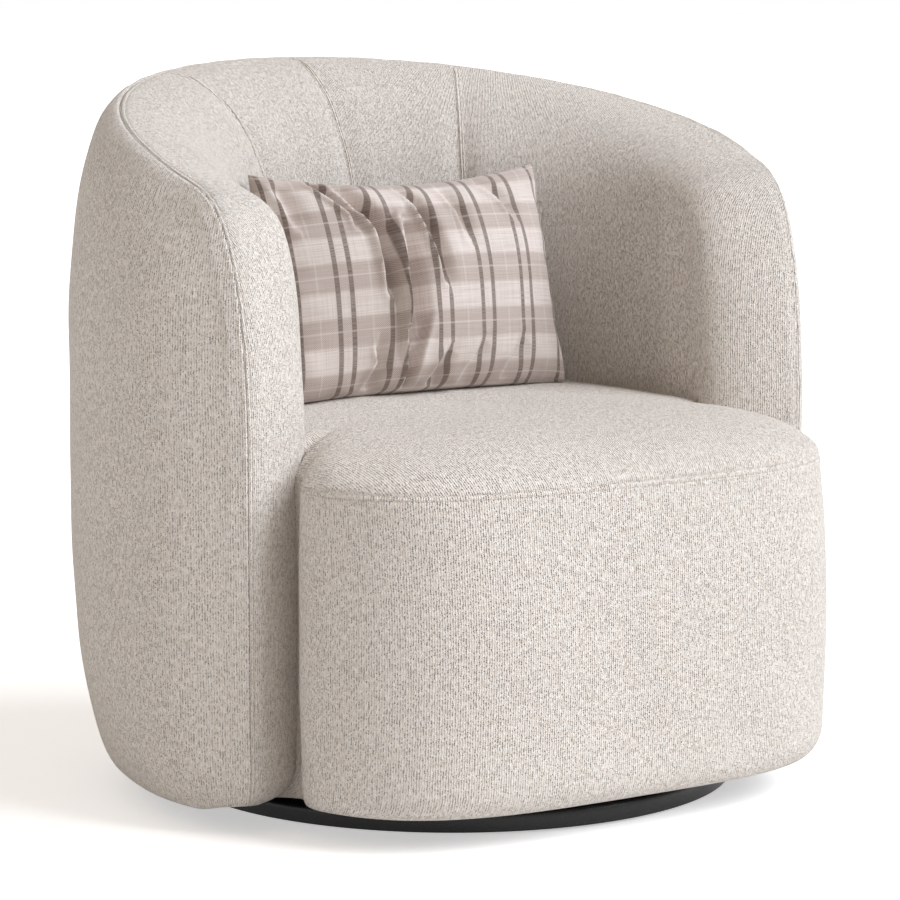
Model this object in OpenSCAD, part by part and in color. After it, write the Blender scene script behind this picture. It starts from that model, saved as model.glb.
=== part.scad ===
// Swivel tub armchair: a curved wall makes the back and both arms, a deep drum seat
// stands between the arms, and the whole chair turns on a flat round base.
// Millimetres. The origin is on the swivel axis at floor level. The chair faces -Y.

/* [Plan of the wall] */
// Half width of the chair, from the swivel axis to the widest point of an arm
plan_rx = 412; // [385:1:435]
// From the widest line of the plan back to the outside of the back
back_ry = 404; // [380:1:425]
// Front half axis of the plan's oval, which sets how much the arms curve in
front_ry = 572; // [500:1:700]
// How far the widest line of the plan lies in front of the swivel axis
plan_forward = 34; // [15:1:50]
// Length along the outside from the middle of the back to the front of an arm
wall_half = 774; // [745:1:795]
// Thickness of the padded back
back_t = 205; // [190:1:220]
// Thickness of a padded arm
arm_t = 160; // [148:1:175]

/* [Height of the wall] */
// Height of the top of the back above the floor
back_h = 735; // [700:1:780]
// How much lower the arm's front corner is than the back
arm_drop = 127; // [100:1:150]
// Height of the wall's lower edge above the floor
wall_foot = 24; // [22:1:26]
// How far the back leans rearward between the seat and its top
back_lean = 18; // [5:1:30]
// Height above the floor where the lean starts
lean_from = 400; // [380:1:430]

/* [Rounding of the wall] */
// Length of the rounded front corner along the arm
corner_w = 89; // [75:1:105]
// Height of the rounded front corner
corner_h = 231; // [190:1:260]
// Power of the corner's curve, where 2 is round and more is squarer
corner_power = 3; // [2.4:0.1:3.6]
// Depth of the seam line behind the outermost face
rim_depth = 61; // [52:1:66]
// Height over which the outer face rolls in to the seam
outer_roll = 258; // [220:1:290]
// Height over which the inner face of the back rolls out to the seam
back_roll = 210; // [180:1:230]
// Length over which the inner face of an arm rolls out to the seam
arm_roll = 45; // [38:1:52]
// Height over which the lower edge tucks in
hem_roll = 240; // [200:1:260]
// Length along the wall from the middle of the back to a side channel seam
channel_s = 229; // [190:1:260]
// How far a channel seam is pulled into the padding
channel_pull = 9; // [0:1:12]

/* [Seat] */
// Half width of the drum seat
seat_rx = 318; // [308:1:330]
// Half depth of the drum seat's curve
seat_ry = 300; // [290:1:315]
// How far the middle of the drum lies in front of the swivel axis
seat_forward = 40; // [30:1:50]
// Power of the drum's plan curve, where 2 is an oval and more is squarer
seat_power = 3.46; // [3:0.02:4]
// Height of the drum's lower edge above the floor
seat_foot = 34; // [33:0.5:34.3]
// Height of the seam round the seat's top panel
seat_seam_h = 347; // [330:1:360]
// Rise of the crowned top panel above its seam
seat_crown = 48; // [35:1:60]
// Swell of the drum's upright face
seat_bulge = 7; // [0:1:10]
// Radius of the drum's lower edge
seat_edge_r = 19; // [14:1:22]
// Radius of the drum's corner where it meets the arm front
flare_r = 36; // [30:1:42]
// Height of the seat's webbing above the floor
webbing_h = 252; // [235:1:265]

/* [Cover and padding] */
// Thickness of the woven cover
cover_t = 1.6; // [1.2:0.1:2]
// Thickness of the wadding on the outside of the wall
wadding_t = 12; // [9:0.5:13]
// Thickness of the foam on the inside of the back
back_foam_t = 45; // [35:1:50]
// Thickness of the foam on the inside of an arm
arm_foam_t = 25; // [20:1:28]
// Thickness of the foam round the drum's front
apron_foam_t = 24; // [18:1:26]
// Thickness of the black dust cover below the chair
dust_cover_t = 0.8; // [0.6:0.1:1]
// Width of the strip that the cover's lower edge is stapled to
strip_w = 8; // [7:0.5:12]

/* [Timber frame] */
// Thickness of the plywood deck that carries the chair
deck_t = 15; // [12:1:18]
// Thickness of the wall's ribs and bottom rail
rib_t = 18; // [15:1:21]
// Thickness of the board that the padding lies on
liner_t = 3; // [2:0.5:3.5]
// Thickness of the kerf-bent top rail
top_rail_t = 18; // [14:1:20]
// Width of the kerf-bent top rail
top_rail_w = 44; // [36:1:48]
// Thickness of the seat box's boards
box_t = 18; // [15:1:20]
// Half width of the seat box over its side rails
box_rx = 190; // [175:1:198]
// Width of one elastic webbing strap
strap_w = 50; // [40:1:56]
// Thickness of one elastic webbing strap
strap_t = 2; // [1.5:0.1:2.5]
// Shank diameter of the wood screws
screw_d = 5; // [4:0.5:5.5]

/* [Swivel base] */
// Radius of the round base
base_r = 290; // [270:1:296]
// Height of the base's top above the floor
base_h = 26; // [24:0.5:27]
// Radius of the base's rolled rim
base_edge_r = 11; // [8:0.5:12]
// Thickness of the base's steel shell
pan_t = 2; // [1.5:0.1:2.5]
// Height of the rubber ring that the chair stands on
ring_h = 3; // [2:0.5:4]
// Width of the rubber ring
ring_w = 22; // [16:1:28]
// Radius of the ball track
track_r = 125; // [110:1:135]
// Diameter of one bearing ball
ball_d = 6; // [5.5:0.1:6.4]
// Number of bearing balls
ball_count = 30; // [20:1:36]
// Thickness of each swivel plate
plate_t = 3; // [2.5:0.1:3.2]
// Diameter of the pivot in the middle of the swivel
pivot_d = 20; // [16:1:24]
// Diameter of the bolts that hold the swivel plates
bolt_d = 6; // [5:0.5:7]
// Radius of the circle of bolts in the lower plate
lower_bolt_r = 70; // [60:1:78]
// Radius of the circle of bolts in the upper plate
upper_bolt_r = 95; // [90:1:100]

/* [Lumbar pillow] */
// Width of the filled pillow between its corner tips
pillow_w = 356; // [330:1:380]
// Height of the filled pillow between its corner tips
pillow_h = 240; // [220:1:260]
// Thickness of the filled pillow
pillow_t = 124; // [100:1:128]
// Angle that the pillow leans back
pillow_lean = 15; // [12:0.5:17]
// How far the pillow's edges draw in between the corners
pillow_draw = 0.05; // [0.02:0.01:0.08]

/* [Hidden] */
$fn = 96;

// Clearances
gap = 0.4;             // between pieces of the chair that lie against each other
running_gap = 0.05;    // round the pivot, radially
ball_gap = 0.1;        // between a ball and its track
nose_gap = 2.4;        // between the seat and the rounded front of an arm
tread_gap = 0.1;       // round a bolt in its hole
board_gap = 0.8;       // between a curved board and what lies on it
overlap = 1;           // how far a cut runs past the face it opens

// Colours
cloth = [0.90, 0.88, 0.85];
foam = [0.96, 0.90, 0.62];
fibre = [0.97, 0.97, 0.95];
ply = [0.80, 0.64, 0.42];
board = [0.55, 0.40, 0.26];
steel = [0.62, 0.63, 0.65];
black = [0.06, 0.06, 0.06];
strap = [0.16, 0.16, 0.17];
plaid = [0.80, 0.73, 0.68];

// Small allowances
base_clear = 4;        // between the base's edge and the hem of the cover
foot_margin = 4;       // between the wadding's foot and the tack strip
foot_step = 4;         // from the strip's outer edge in to the deck's, and on to the bottom rail's
screw_clear = 3;       // between the tip of a base screw and the steel shell
head_clear = 4;        // how much wider a hole round the pivot's head is than the head
dust_margin = 3;       // between the dust cover's edge and the hems
rim_margin = 4;        // between the seam line and the middle of the top rail, on top of the seam's depth

// How far the lower edge of the wall's outer face tucks in, so that the hem clears the base's edge
pad_deep = cover_t + gap;
pad_in = pad_deep + wadding_t;
hem_tuck = back_ry - plan_forward - base_r - base_clear - strip_w - foot_margin - pad_in;

// Heights that follow from the sizes above
track_h = base_h + plate_t + plate_t / 2 + (ball_d - 2 * plate_t / 3) / 4;
upper_plate_h = 2 * track_h - base_h - plate_t;
deck_h = upper_plate_h + plate_t;
deck_top = deck_h + deck_t;
rail_top = deck_top + rib_t;
foam_h = webbing_h + 2 * strap_t;

// Number of steps in the wall's mesh
back_cols = 5;
side_cols = 7;
corner_cols = 7;
half_cols = back_cols + side_cols + corner_cols;
wall_rows = 12;

// Small helpers
function mix(a, b, k) = a + (b - a) * k;
function ease(k) = k * k * (3 - 2 * k);
function limit(k) = min(1, max(0, k));
function roll(q) = sqrt(1 - pow(1 - limit(q), 2));
function flip(list) = [for (i = [len(list) - 1:-1:0]) list[i]];
// The mirror image of a half outline that starts on the middle line, without its first point
function left_of(half) = [for (i = [len(half) - 1:-1:1]) [-half[i][0], half[i][1]]];

// The plan of the wall: two half ellipses, with the angle 0 at the middle of the back
turn_step = 3;
function plan_ry(turn) = abs(turn) < 90 ? back_ry : front_ry;
function plan_at(turn) = [plan_rx * sin(turn), plan_ry(turn) * cos(turn) - plan_forward];
function plan_step(i) = norm(plan_at((i + 1) * turn_step) - plan_at(i * turn_step));
function plan_out(turn) =
    let (n = [sin(turn) / plan_rx, cos(turn) / plan_ry(turn)])
    n / norm(n);
arc_table = [for (i = 0, s = 0; i <= 180 / turn_step; s = s + plan_step(i), i = i + 1) [s, i * turn_step]];
function turn_at(s) = sign(s) * lookup(abs(s), arc_table);

// A point of the wall: s along the outside, w out from the plan's line (negative is inward), z up
function lean_at(z) = back_lean * max(0, (z - lean_from) / (back_h - lean_from));
function wall_xy(s, w) = plan_at(turn_at(s)) + w * plan_out(turn_at(s));
function wall_point(s, w, z) =
    let (p = wall_xy(s, w))
    [p[0], p[1] + lean_at(z), z];

// How much of the arm's section has taken over from the back's at s
function arm_share(s) = ease(limit(abs(s) / wall_half));
function wall_t(s) = mix(back_t, arm_t, arm_share(s));
function wall_roll(s) = mix(back_roll, arm_roll, arm_share(s));

// The rim, where the outer panel meets the inner panels, as [s, z] for column j of one half.
// Columns stand closer beside the channel seam and beside the arm's corner.
side_crowding = 1.2;
corner_s = wall_half - corner_w;
function rim_h(s) = back_h - arm_drop * pow(s / wall_half, 2);
function top_s(j) =
    j <= back_cols
        ? channel_s * (1 - cos(180 * j / back_cols)) / 2
        : mix(channel_s, corner_s, pow((j - back_cols) / side_cols, side_crowding));
function corner_point(turn, edge) =
    let (s = corner_s + (corner_w - edge) * pow(sin(turn), 2 / corner_power))
    [s, rim_h(s) - edge - (corner_h - edge) * (1 - pow(cos(turn), 2 / corner_power))];
function half_rim(j, edge) =
    j <= back_cols + side_cols
        ? [top_s(j), rim_h(top_s(j)) - edge]
        : corner_point(90 * (j - back_cols - side_cols) / corner_cols, edge);
function rim_line(edge) = concat(
    [for (j = [0:half_cols]) half_rim(j, edge)],
    [[wall_half - edge, -back_h]]
);
function span_distance(p, a, b) =
    let (ab = b - a, k = limit(((p - a) * ab) / (ab * ab)))
    norm(p - a - k * ab);
function rim_distance(p, line) = min([for (i = [0:len(line) - 2]) span_distance(p, line[i], line[i + 1])]);

// Depths of the two faces of the wall, for a layer that lies this deep below the surface, at the
// height up above the layer's own foot and the distance d from its rim
function tuck(up) = hem_tuck * (1 - roll(up / hem_roll));
function seam_depth(up) = rim_depth + tuck(up);
function outer_w(up, d, deep) = -deep - (rim_depth - deep) * (1 - roll(d / (outer_roll - deep))) - tuck(up);
function channel_dip(s, d) =
    let (near = min([for (c = [0, channel_s]) abs(abs(s) - c)]))
    channel_pull * exp(-pow(near / (3 * channel_pull), 2)) * roll(d / back_roll);
function inner_w(s, up, d, deep) =
    let (front = seam_depth(up), r = max(2, wall_roll(s) - deep))
    -front - (wall_t(s) - deep - front) * roll(d / r) + (channel_pull > 0 ? channel_dip(s, d) : 0);

// A sheet of points on one face. Its edge and depth say how far it lies inside the surface.
// foot and front_foot are the heights of its lower edge along the wall and at the arm fronts.
front_foot_w = 12;
front_foot_s = wall_half - front_foot_w;
function foot_at(s, foot, front_foot) = abs(s) > front_foot_s ? front_foot : foot;
row_crowding = 0.7;
function row_share(r) = mix(r / wall_rows, ease(r / wall_rows), row_crowding);
function sheet(outer, edge, deep_back, deep_arm, foot, front_foot, from, to, step = 0) =
    let (line = rim_line(edge))
    [for (r = [0:wall_rows])
        [for (j = [from:to])
            let (
                top = half_rim(abs(j), edge),
                low = foot_at(top[0], foot, front_foot),
                z = mix(low, top[1], row_share(r)),
                d = r == wall_rows || abs(j) == half_cols ? 0 : rim_distance([top[0], z], line),
                deep = mix(deep_back, deep_arm, arm_share(top[0])),
                w = outer ? outer_w(z - low, d, deep) : inner_w(top[0], z - low, d, deep)
            )
            wall_point((j < 0 ? -1 : 1) * top[0], w + (outer ? step : -step), z)
        ]
    ];

// Faces of a closed solid between two grids of points of the same size
function grid_faces(rows, cols, at, flipped) =
    [for (r = [0:rows - 2], c = [0:cols - 2])
        let (
            a = at + r * cols + c, b = a + 1, d = a + cols, e = d + 1,
            square = [[a, b, e], [a, e, d]]
        )
        each flipped ? [for (f = square) flip(f)] : square
    ];
function edge_faces(loop, shift) =
    [for (i = [0:len(loop) - 1])
        let (a = loop[i], b = loop[(i + 1) % len(loop)])
        each [[a, b, b + shift], [a, b + shift, a + shift]]
    ];
function grid_loop(rows, cols) = concat(
    [for (c = [0:cols - 2]) c],
    [for (r = [0:rows - 2]) r * cols + cols - 1],
    [for (c = [cols - 1:-1:1]) (rows - 1) * cols + c],
    [for (r = [rows - 1:-1:1]) r * cols]
);
function flat(grid) = [for (row = grid) each row];

// The solid between two grids of points. Seen from the chair's front, the front grid's rows run up
// and its columns run to the right.
module layer(front, back) {
    rows = len(front);
    cols = len(front[0]);
    polyhedron(
        points = concat(flat(front), flat(back)),
        faces = concat(
            grid_faces(rows, cols, 0, true),
            grid_faces(rows, cols, rows * cols, false),
            edge_faces(grid_loop(rows, cols), rows * cols)
        )
    );
}

// Plan of the seat. Each point list runs from the middle of the front to the middle of the back:
// the drum's oval, an arc that turns in towards the arm, and the crease round the arm's rounded front.
front_cols = 9;
flare_cols = 4;
nose_cols = 3;
nose_from = 35;
flare_to = 50;
flare_back = 13;
function drum_point(turn) = [
    seat_rx * pow(sin(turn), 2 / seat_power),
    -seat_forward - seat_ry * pow(cos(turn), 2 / seat_power)
];
function drum_out(turn) =
    let (n = [
        pow(sin(turn), 2 - 2 / seat_power) / seat_rx,
        -pow(cos(turn), 2 - 2 / seat_power) / seat_ry
    ])
    n / norm(n);
function nose_point(turn, inset, z) =
    let (
        out = nose_gap + inset,
        front = seam_depth(z - wall_foot),
        s = wall_half + out - (arm_roll + out) * (1 - cos(turn)),
        w = -front - (wall_t(s) + out - front) * sin(turn)
    )
    wall_xy(s, w);
flare_y = nose_point(nose_from, 0, seat_seam_h)[1] - flare_back;
function flare_centre(turn) = drum_point(turn) - flare_r * drum_out(turn);
flare_table = [for (turn = [30:89]) [flare_centre(turn)[1] + flare_r * sin(flare_to), turn]];
flare_turn = lookup(flare_y, flare_table);
flare_mid = flare_centre(flare_turn);
flare_from = atan2(drum_out(flare_turn)[1], drum_out(flare_turn)[0]);
function front_part(inset) =
    [for (i = [0:front_cols])
        let (turn = flare_turn * i / front_cols)
        drum_point(turn) - inset * drum_out(turn)
    ];
function flare_part(inset) =
    [for (i = [1:flare_cols])
        let (turn = mix(flare_from, flare_to, i / flare_cols))
        flare_mid + max(1, flare_r - inset) * [cos(turn), sin(turn)]
    ];
function nose_part(inset, z) =
    [for (i = [0:nose_cols]) nose_point(mix(nose_from, 90, i / nose_cols), inset, z)];
function inner_part(inset) =
    [for (j = [back_cols + side_cols + 1:-1:0])
        let (s = half_rim(j, 0)[0])
        wall_xy(s, -wall_t(s) - gap - inset)
    ];
function seat_half(front_inset, wall_inset, z) = concat(
    front_part(front_inset), flare_part(front_inset), nose_part(wall_inset, z), inner_part(wall_inset)
);
function both_sides(half) = concat(
    half, [for (i = [len(half) - 2:-1:1]) [-half[i][0], half[i][1]]]
);
function seat_ring(front_inset, wall_inset, z) = both_sides(seat_half(front_inset, wall_inset, z));

// Height of the crowned top panel at a point of the plan: flat in the middle, and steep at its seam
seam_inset = 5;
crown_flat = 4;
crown_power = 0.6;
function drum_share(p) =
    let (
        x = abs(p[0]) / (seat_rx - seam_inset),
        y = abs(p[1] + seat_forward) / (seat_ry - seam_inset)
    )
    limit(pow(pow(x, seat_power) + pow(y, seat_power), 1 / seat_power));
function crown_h(p) = seat_seam_h + seat_crown * pow(1 - pow(drum_share(p), crown_flat), crown_power);

// Front inset of the drum's upright face at height z
edge_h = 1.6 * seat_edge_r;
function face_inset(z) =
    let (
        q = limit((z - seat_foot) / edge_h),
        k = limit((z - seat_foot - edge_h) / (seat_seam_h - seat_foot - edge_h))
    )
    seat_edge_r * (1 - roll(q)) - seat_bulge * sin(180 * k) + seam_inset * k;

// The face's mesh has rows at these shares of its height, and everything behind it follows them
face_rows = [0, 0.02, 0.045, 0.1, 0.32, 0.6, 0.85, 1];
face_table = [for (k = face_rows) let (z = mix(seat_foot, seat_seam_h, k)) [z, face_inset(z)]];
function face_at(z) = lookup(z, face_table);

// Rings of a dome, with shares of the way from the middle to the edge. The heights are those of
// the top cover's ring, so that all layers of the dome keep the same facets.
dome_shares = [1, 0.985, 0.95, 0.87, 0.72, 0.5, 0.25];
seat_middle = [0, -seat_forward];
top_ring = seat_ring(seam_inset, 0, seat_seam_h);
function from_middle(p, share) = seat_middle + share * (p - seat_middle);
// All round the border the cover's edge comes down to the level seam, with the sink fading fast inward
border_cols = front_cols + flare_cols + 1;
sink_power = 12;
function edge_sink(i) =
    min(i, len(top_ring) - i) > border_cols ? 0 : crown_h(top_ring[i]) - seat_seam_h;
function dome_ring(ring, share, drop) =
    [for (i = [0:len(ring) - 1])
        let (q = from_middle(ring[i], share), h = crown_h(from_middle(top_ring[i], share)))
        [q[0], q[1], h - edge_sink(i) * pow(share, sink_power) - drop]
    ];
function ring_at(ring, z) = [for (p = ring) [p[0], p[1], z]];
function ring_faces(rings, n, at, flipped) =
    [for (r = [0:rings - 2], i = [0:n - 1])
        let (
            a = at + r * n + i, b = at + r * n + (i + 1) % n, d = a + n, e = b + n,
            square = [[a, e, b], [a, d, e]]
        )
        each flipped ? [for (f = square) flip(f)] : square
    ];
function fan_faces(n, at, tip, flipped) =
    [for (i = [0:n - 1])
        let (f = [at + i, tip, at + (i + 1) % n])
        flipped ? flip(f) : f
    ];

// Plan of what lies in the wall's foot. Its outer edge keeps its distance from the padding, which
// curves in towards the front of an arm.
pad_foot = wall_foot + pad_deep;
foot_cols = 28;
strip_edge_w = -pad_in - hem_tuck - foot_margin;
deck_edge_w = strip_edge_w + foot_step;
rail_edge_w = deck_edge_w + foot_step;
hem_end_w = strip_edge_w - strip_w;
band_over = 20;
band_end = corner_s + band_over;
function front_draw(s) =
    (rim_depth - pad_in) * (1 - roll((wall_half - pad_in - abs(s)) / (outer_roll - pad_in)));
function edge_side(w) =
    [for (i = [0:foot_cols])
        let (s = mix(-band_end, band_end, i / foot_cols))
        wall_xy(s, w - front_draw(s))
    ];
function inner_side(w) = [for (i = [0:foot_cols]) wall_xy(mix(-band_end, band_end, i / foot_cols), w)];
module wall_band(outside, inside, h, thick) {
    translate([0, 0, h])
        linear_extrude(thick)
            polygon(concat(outside, flip(inside)));
}

// Plan of the deck, and of the dust cover further in
module deck_plan(front_inset, wall_inset, edge_w) {
    crease = nose_part(wall_inset, deck_h);
    drum = concat(
        front_part(front_inset), flare_part(front_inset),
        [for (i = [1:nose_cols]) crease[i]],
        [wall_xy(band_end, -wall_t(band_end) - wall_inset)]
    );
    polygon(concat(
        left_of(drum), drum, flip(edge_side(edge_w))
    ));
}

// Round copies of a child on a circle
module on_circle(count, r, start = 0) {
    for (i = [0:count - 1])
        rotate(start + i * 360 / count)
            translate([r, 0, 0])
                children();
}

// Base

// The core's edge stays clear of the pan's rolled rim
core_r = base_r - base_edge_r - gap;
core_h = base_h - pan_t - ring_h - gap / 4;
ring_inset = 4;
ring_outer_r = core_r + gap - ring_inset;

// Screws that pull the core up against the steel shell's top
screw_places = 8;
screw_turn = 22.5;
screw_inset = 20;
screw_ring_r = ring_outer_r - ring_w - screw_inset;
screw_head_h = 1.5;
core_screw_l = base_h - pan_t - ring_h - screw_clear;

// The four bolts of each swivel plate
bolt_places = 4;
lower_bolt_turn = 45;
bolt_head_h = 1.6;
bolt_foot = 2;

// Swivel: the pivot's heads, its washer, and the plates round the ball track
pivot_head_d = 1.7 * pivot_d;
pivot_head_t = 2;
washer_t = 1.5;
plate_rim = 8;
plate_r = track_r + ball_d + plate_rim;
cage_t = 1;
cage_rim = 3;
cage_half_w = ball_d / 2 + cage_rim;

// Tee nuts in the deck
tee_wall = 1.2;
tee_flange_t = 1.5;
tee_depth = 0.6 * deck_t;

module base_pan() {
    color(black)
        difference() {
            rotate_extrude() {
                translate([0, ring_h])
                    square([base_r - base_edge_r, base_h - ring_h]);
                translate([0, ring_h])
                    square([base_r, base_h - base_edge_r - ring_h]);
                translate([base_r - base_edge_r, base_h - base_edge_r])
                    intersection() {
                        circle(base_edge_r);
                        square(base_edge_r);
                    }
            }
            translate([0, 0, ring_h - overlap])
                cylinder(r = core_r + gap, h = base_h - ring_h - pan_t + overlap);
            base_holes(base_h - pan_t - overlap, base_h + overlap);
        }
}

module base_core() {
    color(board)
        difference() {
            translate([0, 0, ring_h])
                cylinder(r = core_r, h = core_h);
            base_holes(ring_h - overlap, base_h + overlap);
            on_circle(screw_places, screw_ring_r, screw_turn)
                translate([0, 0, ring_h - overlap])
                    cylinder(d = screw_d + 2 * tread_gap, h = core_h + 2 * overlap);
        }
}

// Holes for the rivet's lower head and for the bolts of the lower plate
module base_holes(low, high) {
    translate([0, 0, low])
        cylinder(d = pivot_head_d + head_clear, h = high - low);
    on_circle(bolt_places, lower_bolt_r, lower_bolt_turn)
        translate([0, 0, low])
            cylinder(d = bolt_d + 2 * tread_gap, h = high - low);
}

module floor_ring() {
    color(black)
        difference() {
            cylinder(r = ring_outer_r, h = ring_h);
            translate([0, 0, -overlap])
                cylinder(r = ring_outer_r - ring_w, h = ring_h + 2 * overlap);
        }
}

module base_screws() {
    color(steel)
        on_circle(screw_places, screw_ring_r, screw_turn) {
            translate([0, 0, ring_h - screw_head_h])
                cylinder(d = 2 * screw_d, h = screw_head_h);
            translate([0, 0, ring_h - screw_head_h / 2])
                cylinder(d = screw_d, h = core_screw_l);
        }
}

// Swivel

module track_cut() {
    translate([0, 0, track_h])
        rotate_extrude()
            translate([track_r, 0])
                circle(d = ball_d + 2 * ball_gap);
}

module swivel_lower_plate() {
    color(steel)
        difference() {
            translate([0, 0, base_h])
                cylinder(r = plate_r, h = plate_t);
            track_cut();
            translate([0, 0, base_h - overlap])
                cylinder(d = pivot_d + 2 * running_gap, h = plate_t + 2 * overlap);
            on_circle(bolt_places, lower_bolt_r, lower_bolt_turn)
                translate([0, 0, base_h - overlap])
                    cylinder(d = bolt_d + 2 * tread_gap, h = plate_t + 2 * overlap);
        }
}

module swivel_upper_plate() {
    color(steel)
        difference() {
            translate([0, 0, upper_plate_h])
                cylinder(r = plate_r, h = plate_t);
            track_cut();
            translate([0, 0, upper_plate_h - overlap])
                cylinder(d = pivot_d + 2 * running_gap, h = plate_t + 2 * overlap);
            on_circle(bolt_places, upper_bolt_r)
                translate([0, 0, upper_plate_h - overlap])
                    cylinder(d = bolt_d + 2 * tread_gap, h = plate_t + 2 * overlap);
        }
}

// The rivet's lower head sits in the base, and its upper head holds the washer down
module pivot_rivet() {
    color(steel) {
        translate([0, 0, base_h - pivot_head_t])
            cylinder(d = pivot_head_d, h = pivot_head_t);
        translate([0, 0, base_h - pivot_head_t])
            cylinder(d = pivot_d, h = deck_h + washer_t + 2 * gap + pivot_head_t - base_h);
        translate([0, 0, deck_h + washer_t + 2 * gap])
            cylinder(d = pivot_head_d, h = pivot_head_t);
    }
}

module pivot_washer() {
    color(black)
        translate([0, 0, deck_h + gap])
            difference() {
                cylinder(d = pivot_head_d + head_clear, h = washer_t);
                translate([0, 0, -overlap])
                    cylinder(d = pivot_d + 2 * running_gap, h = washer_t + 2 * overlap);
            }
}

module lower_plate_bolts() {
    color(steel)
        on_circle(bolt_places, lower_bolt_r, lower_bolt_turn) {
            translate([0, 0, base_h + plate_t])
                cylinder(d = 2 * bolt_d, h = bolt_head_h);
            translate([0, 0, ring_h + bolt_foot])
                cylinder(d = bolt_d, h = base_h + plate_t + bolt_head_h - ring_h - bolt_foot);
        }
}

module upper_plate_bolts() {
    color(steel)
        on_circle(bolt_places, upper_bolt_r) {
            translate([0, 0, upper_plate_h - bolt_head_h])
                cylinder(d = 2 * bolt_d, h = bolt_head_h);
            translate([0, 0, upper_plate_h - bolt_head_h])
                cylinder(d = bolt_d, h = deck_top + tee_flange_t - upper_plate_h + bolt_head_h);
        }
}

module tee_nuts() {
    color(steel)
        on_circle(bolt_places, upper_bolt_r)
            difference() {
                union() {
                    translate([0, 0, deck_top - tee_depth])
                        cylinder(d = bolt_d + 2 * (tread_gap + tee_wall), h = tee_depth);
                    translate([0, 0, deck_top])
                        cylinder(d = 3 * bolt_d, h = tee_flange_t);
                }
                translate([0, 0, deck_h])
                    cylinder(d = bolt_d + 2 * tread_gap, h = deck_t + 2 * tee_flange_t);
            }
}

module ball_cage() {
    color(black)
        difference() {
            translate([0, 0, track_h - cage_t / 2])
                cylinder(r = track_r + cage_half_w, h = cage_t);
            translate([0, 0, track_h - cage_t])
                cylinder(r = track_r - cage_half_w, h = 2 * cage_t);
            on_circle(ball_count, track_r)
                translate([0, 0, track_h - cage_t])
                    cylinder(d = ball_d + 2 * ball_gap, h = 2 * cage_t);
        }
}

module bearing_balls() {
    color(steel)
        on_circle(ball_count, track_r)
            translate([0, 0, track_h])
                sphere(d = ball_d);
}

// Deck and seat frame

deck_inset = pad_deep + apron_foam_t + foot_margin;
deck_wall_inset = 6;
dust_hole_rim = 6;
module bottom_deck() {
    color(ply)
        difference() {
            translate([0, 0, deck_h])
                linear_extrude(deck_t)
                    deck_plan(deck_inset, deck_wall_inset, deck_edge_w);
            translate([0, 0, deck_h - overlap])
                cylinder(d = pivot_head_d + 2 * head_clear, h = deck_t + 2 * overlap);
            on_circle(bolt_places, upper_bolt_r)
                translate([0, 0, deck_h - overlap])
                    cylinder(d = bolt_d + 2 * (tread_gap + tee_wall + tread_gap), h = deck_t + 2 * overlap);
            wall_screw_holes(deck_h - overlap, deck_top + overlap);
        }
}

// The strip that the cover's lower edge is stapled to, outside the base's edge
module tack_strip() {
    color(ply)
        difference() {
            wall_band(edge_side(strip_edge_w), edge_side(hem_end_w), pad_foot, deck_h - pad_foot);
            wall_screw_holes(wall_foot, deck_h + overlap);
        }
}

module dust_cover() {
    color(black)
        difference() {
            translate([0, 0, deck_h - dust_cover_t])
                linear_extrude(dust_cover_t)
                    deck_plan(seat_edge_r + seat_hem_w + dust_margin, deck_wall_inset + dust_margin,
                        hem_end_w - dust_margin);
            translate([0, 0, deck_h - dust_cover_t - overlap])
                cylinder(r = plate_r + dust_hole_rim, h = dust_cover_t + 2 * overlap);
        }
}

// The seat box: its back rail's front face, and the thickness of the bent board in front
box_back_y = 40;
fascia_t = 12;
fascia_inset = cover_t + 2 * gap + apron_foam_t;
// Where the fascia's inner face stands at x
function fascia_y(x) = lookup(x, front_part(fascia_inset + fascia_t));
rail_front_y = fascia_y(box_rx) + gap;

module seat_side_rails() {
    color(ply)
        for (side = [-1, 1])
            translate([side * (box_rx - box_t / 2) - box_t / 2, rail_front_y, deck_top])
                cube([box_t, box_back_y - rail_front_y, webbing_h - deck_top]);
}

module seat_back_rail() {
    color(ply)
        translate([-box_rx, box_back_y, deck_top])
            cube([2 * box_rx, box_t, webbing_h - deck_top]);
}

module seat_fascia() {
    outside = front_part(fascia_inset);
    inside = front_part(fascia_inset + fascia_t);
    color(ply)
        translate([0, 0, deck_top])
            linear_extrude(webbing_h - deck_top)
                polygon(concat(left_of(outside), outside, flip(inside), flip(left_of(inside))));
}

// The three-cornered blocks that brace the box's back corners
block_w = 60;
block_h = 80;
module corner_blocks() {
    color(ply)
        for (side = [-1, 1])
            translate([side * (box_rx - box_t), box_back_y, webbing_h - block_h])
                linear_extrude(block_h - strap_t)
                    polygon([[0, 0], [-side * block_w, 0], [0, -block_w]]);
}

// Straps, which stop short of the box's outer faces, and where the rear and front cross straps lie
long_straps = 5;
cross_straps = 4;
strap_end = 2;
cross_back = 30;
cross_front = 20;
module webbing_lengthwise() {
    pitch = (2 * box_rx - strap_w) / (long_straps - 1);
    color(strap)
        for (i = [0:long_straps - 1]) {
            x = -box_rx + strap_w / 2 + i * pitch;
            front = fascia_y(abs(x) + strap_w / 2) - fascia_t / 2;
            translate([x - strap_w / 2, front, webbing_h])
                cube([strap_w, box_back_y + box_t - strap_end - front, strap_t]);
        }
}

module webbing_crosswise() {
    from = box_back_y - cross_back;
    to = rail_front_y + strap_w + cross_front;
    color(strap)
        for (i = [0:cross_straps - 1])
            let (y = mix(from, to, i / (cross_straps - 1)))
            translate([-box_rx + strap_end, y - strap_w / 2, webbing_h + strap_t])
                cube([2 * (box_rx - strap_end), strap_w, strap_t]);
}

// Wall frame

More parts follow.
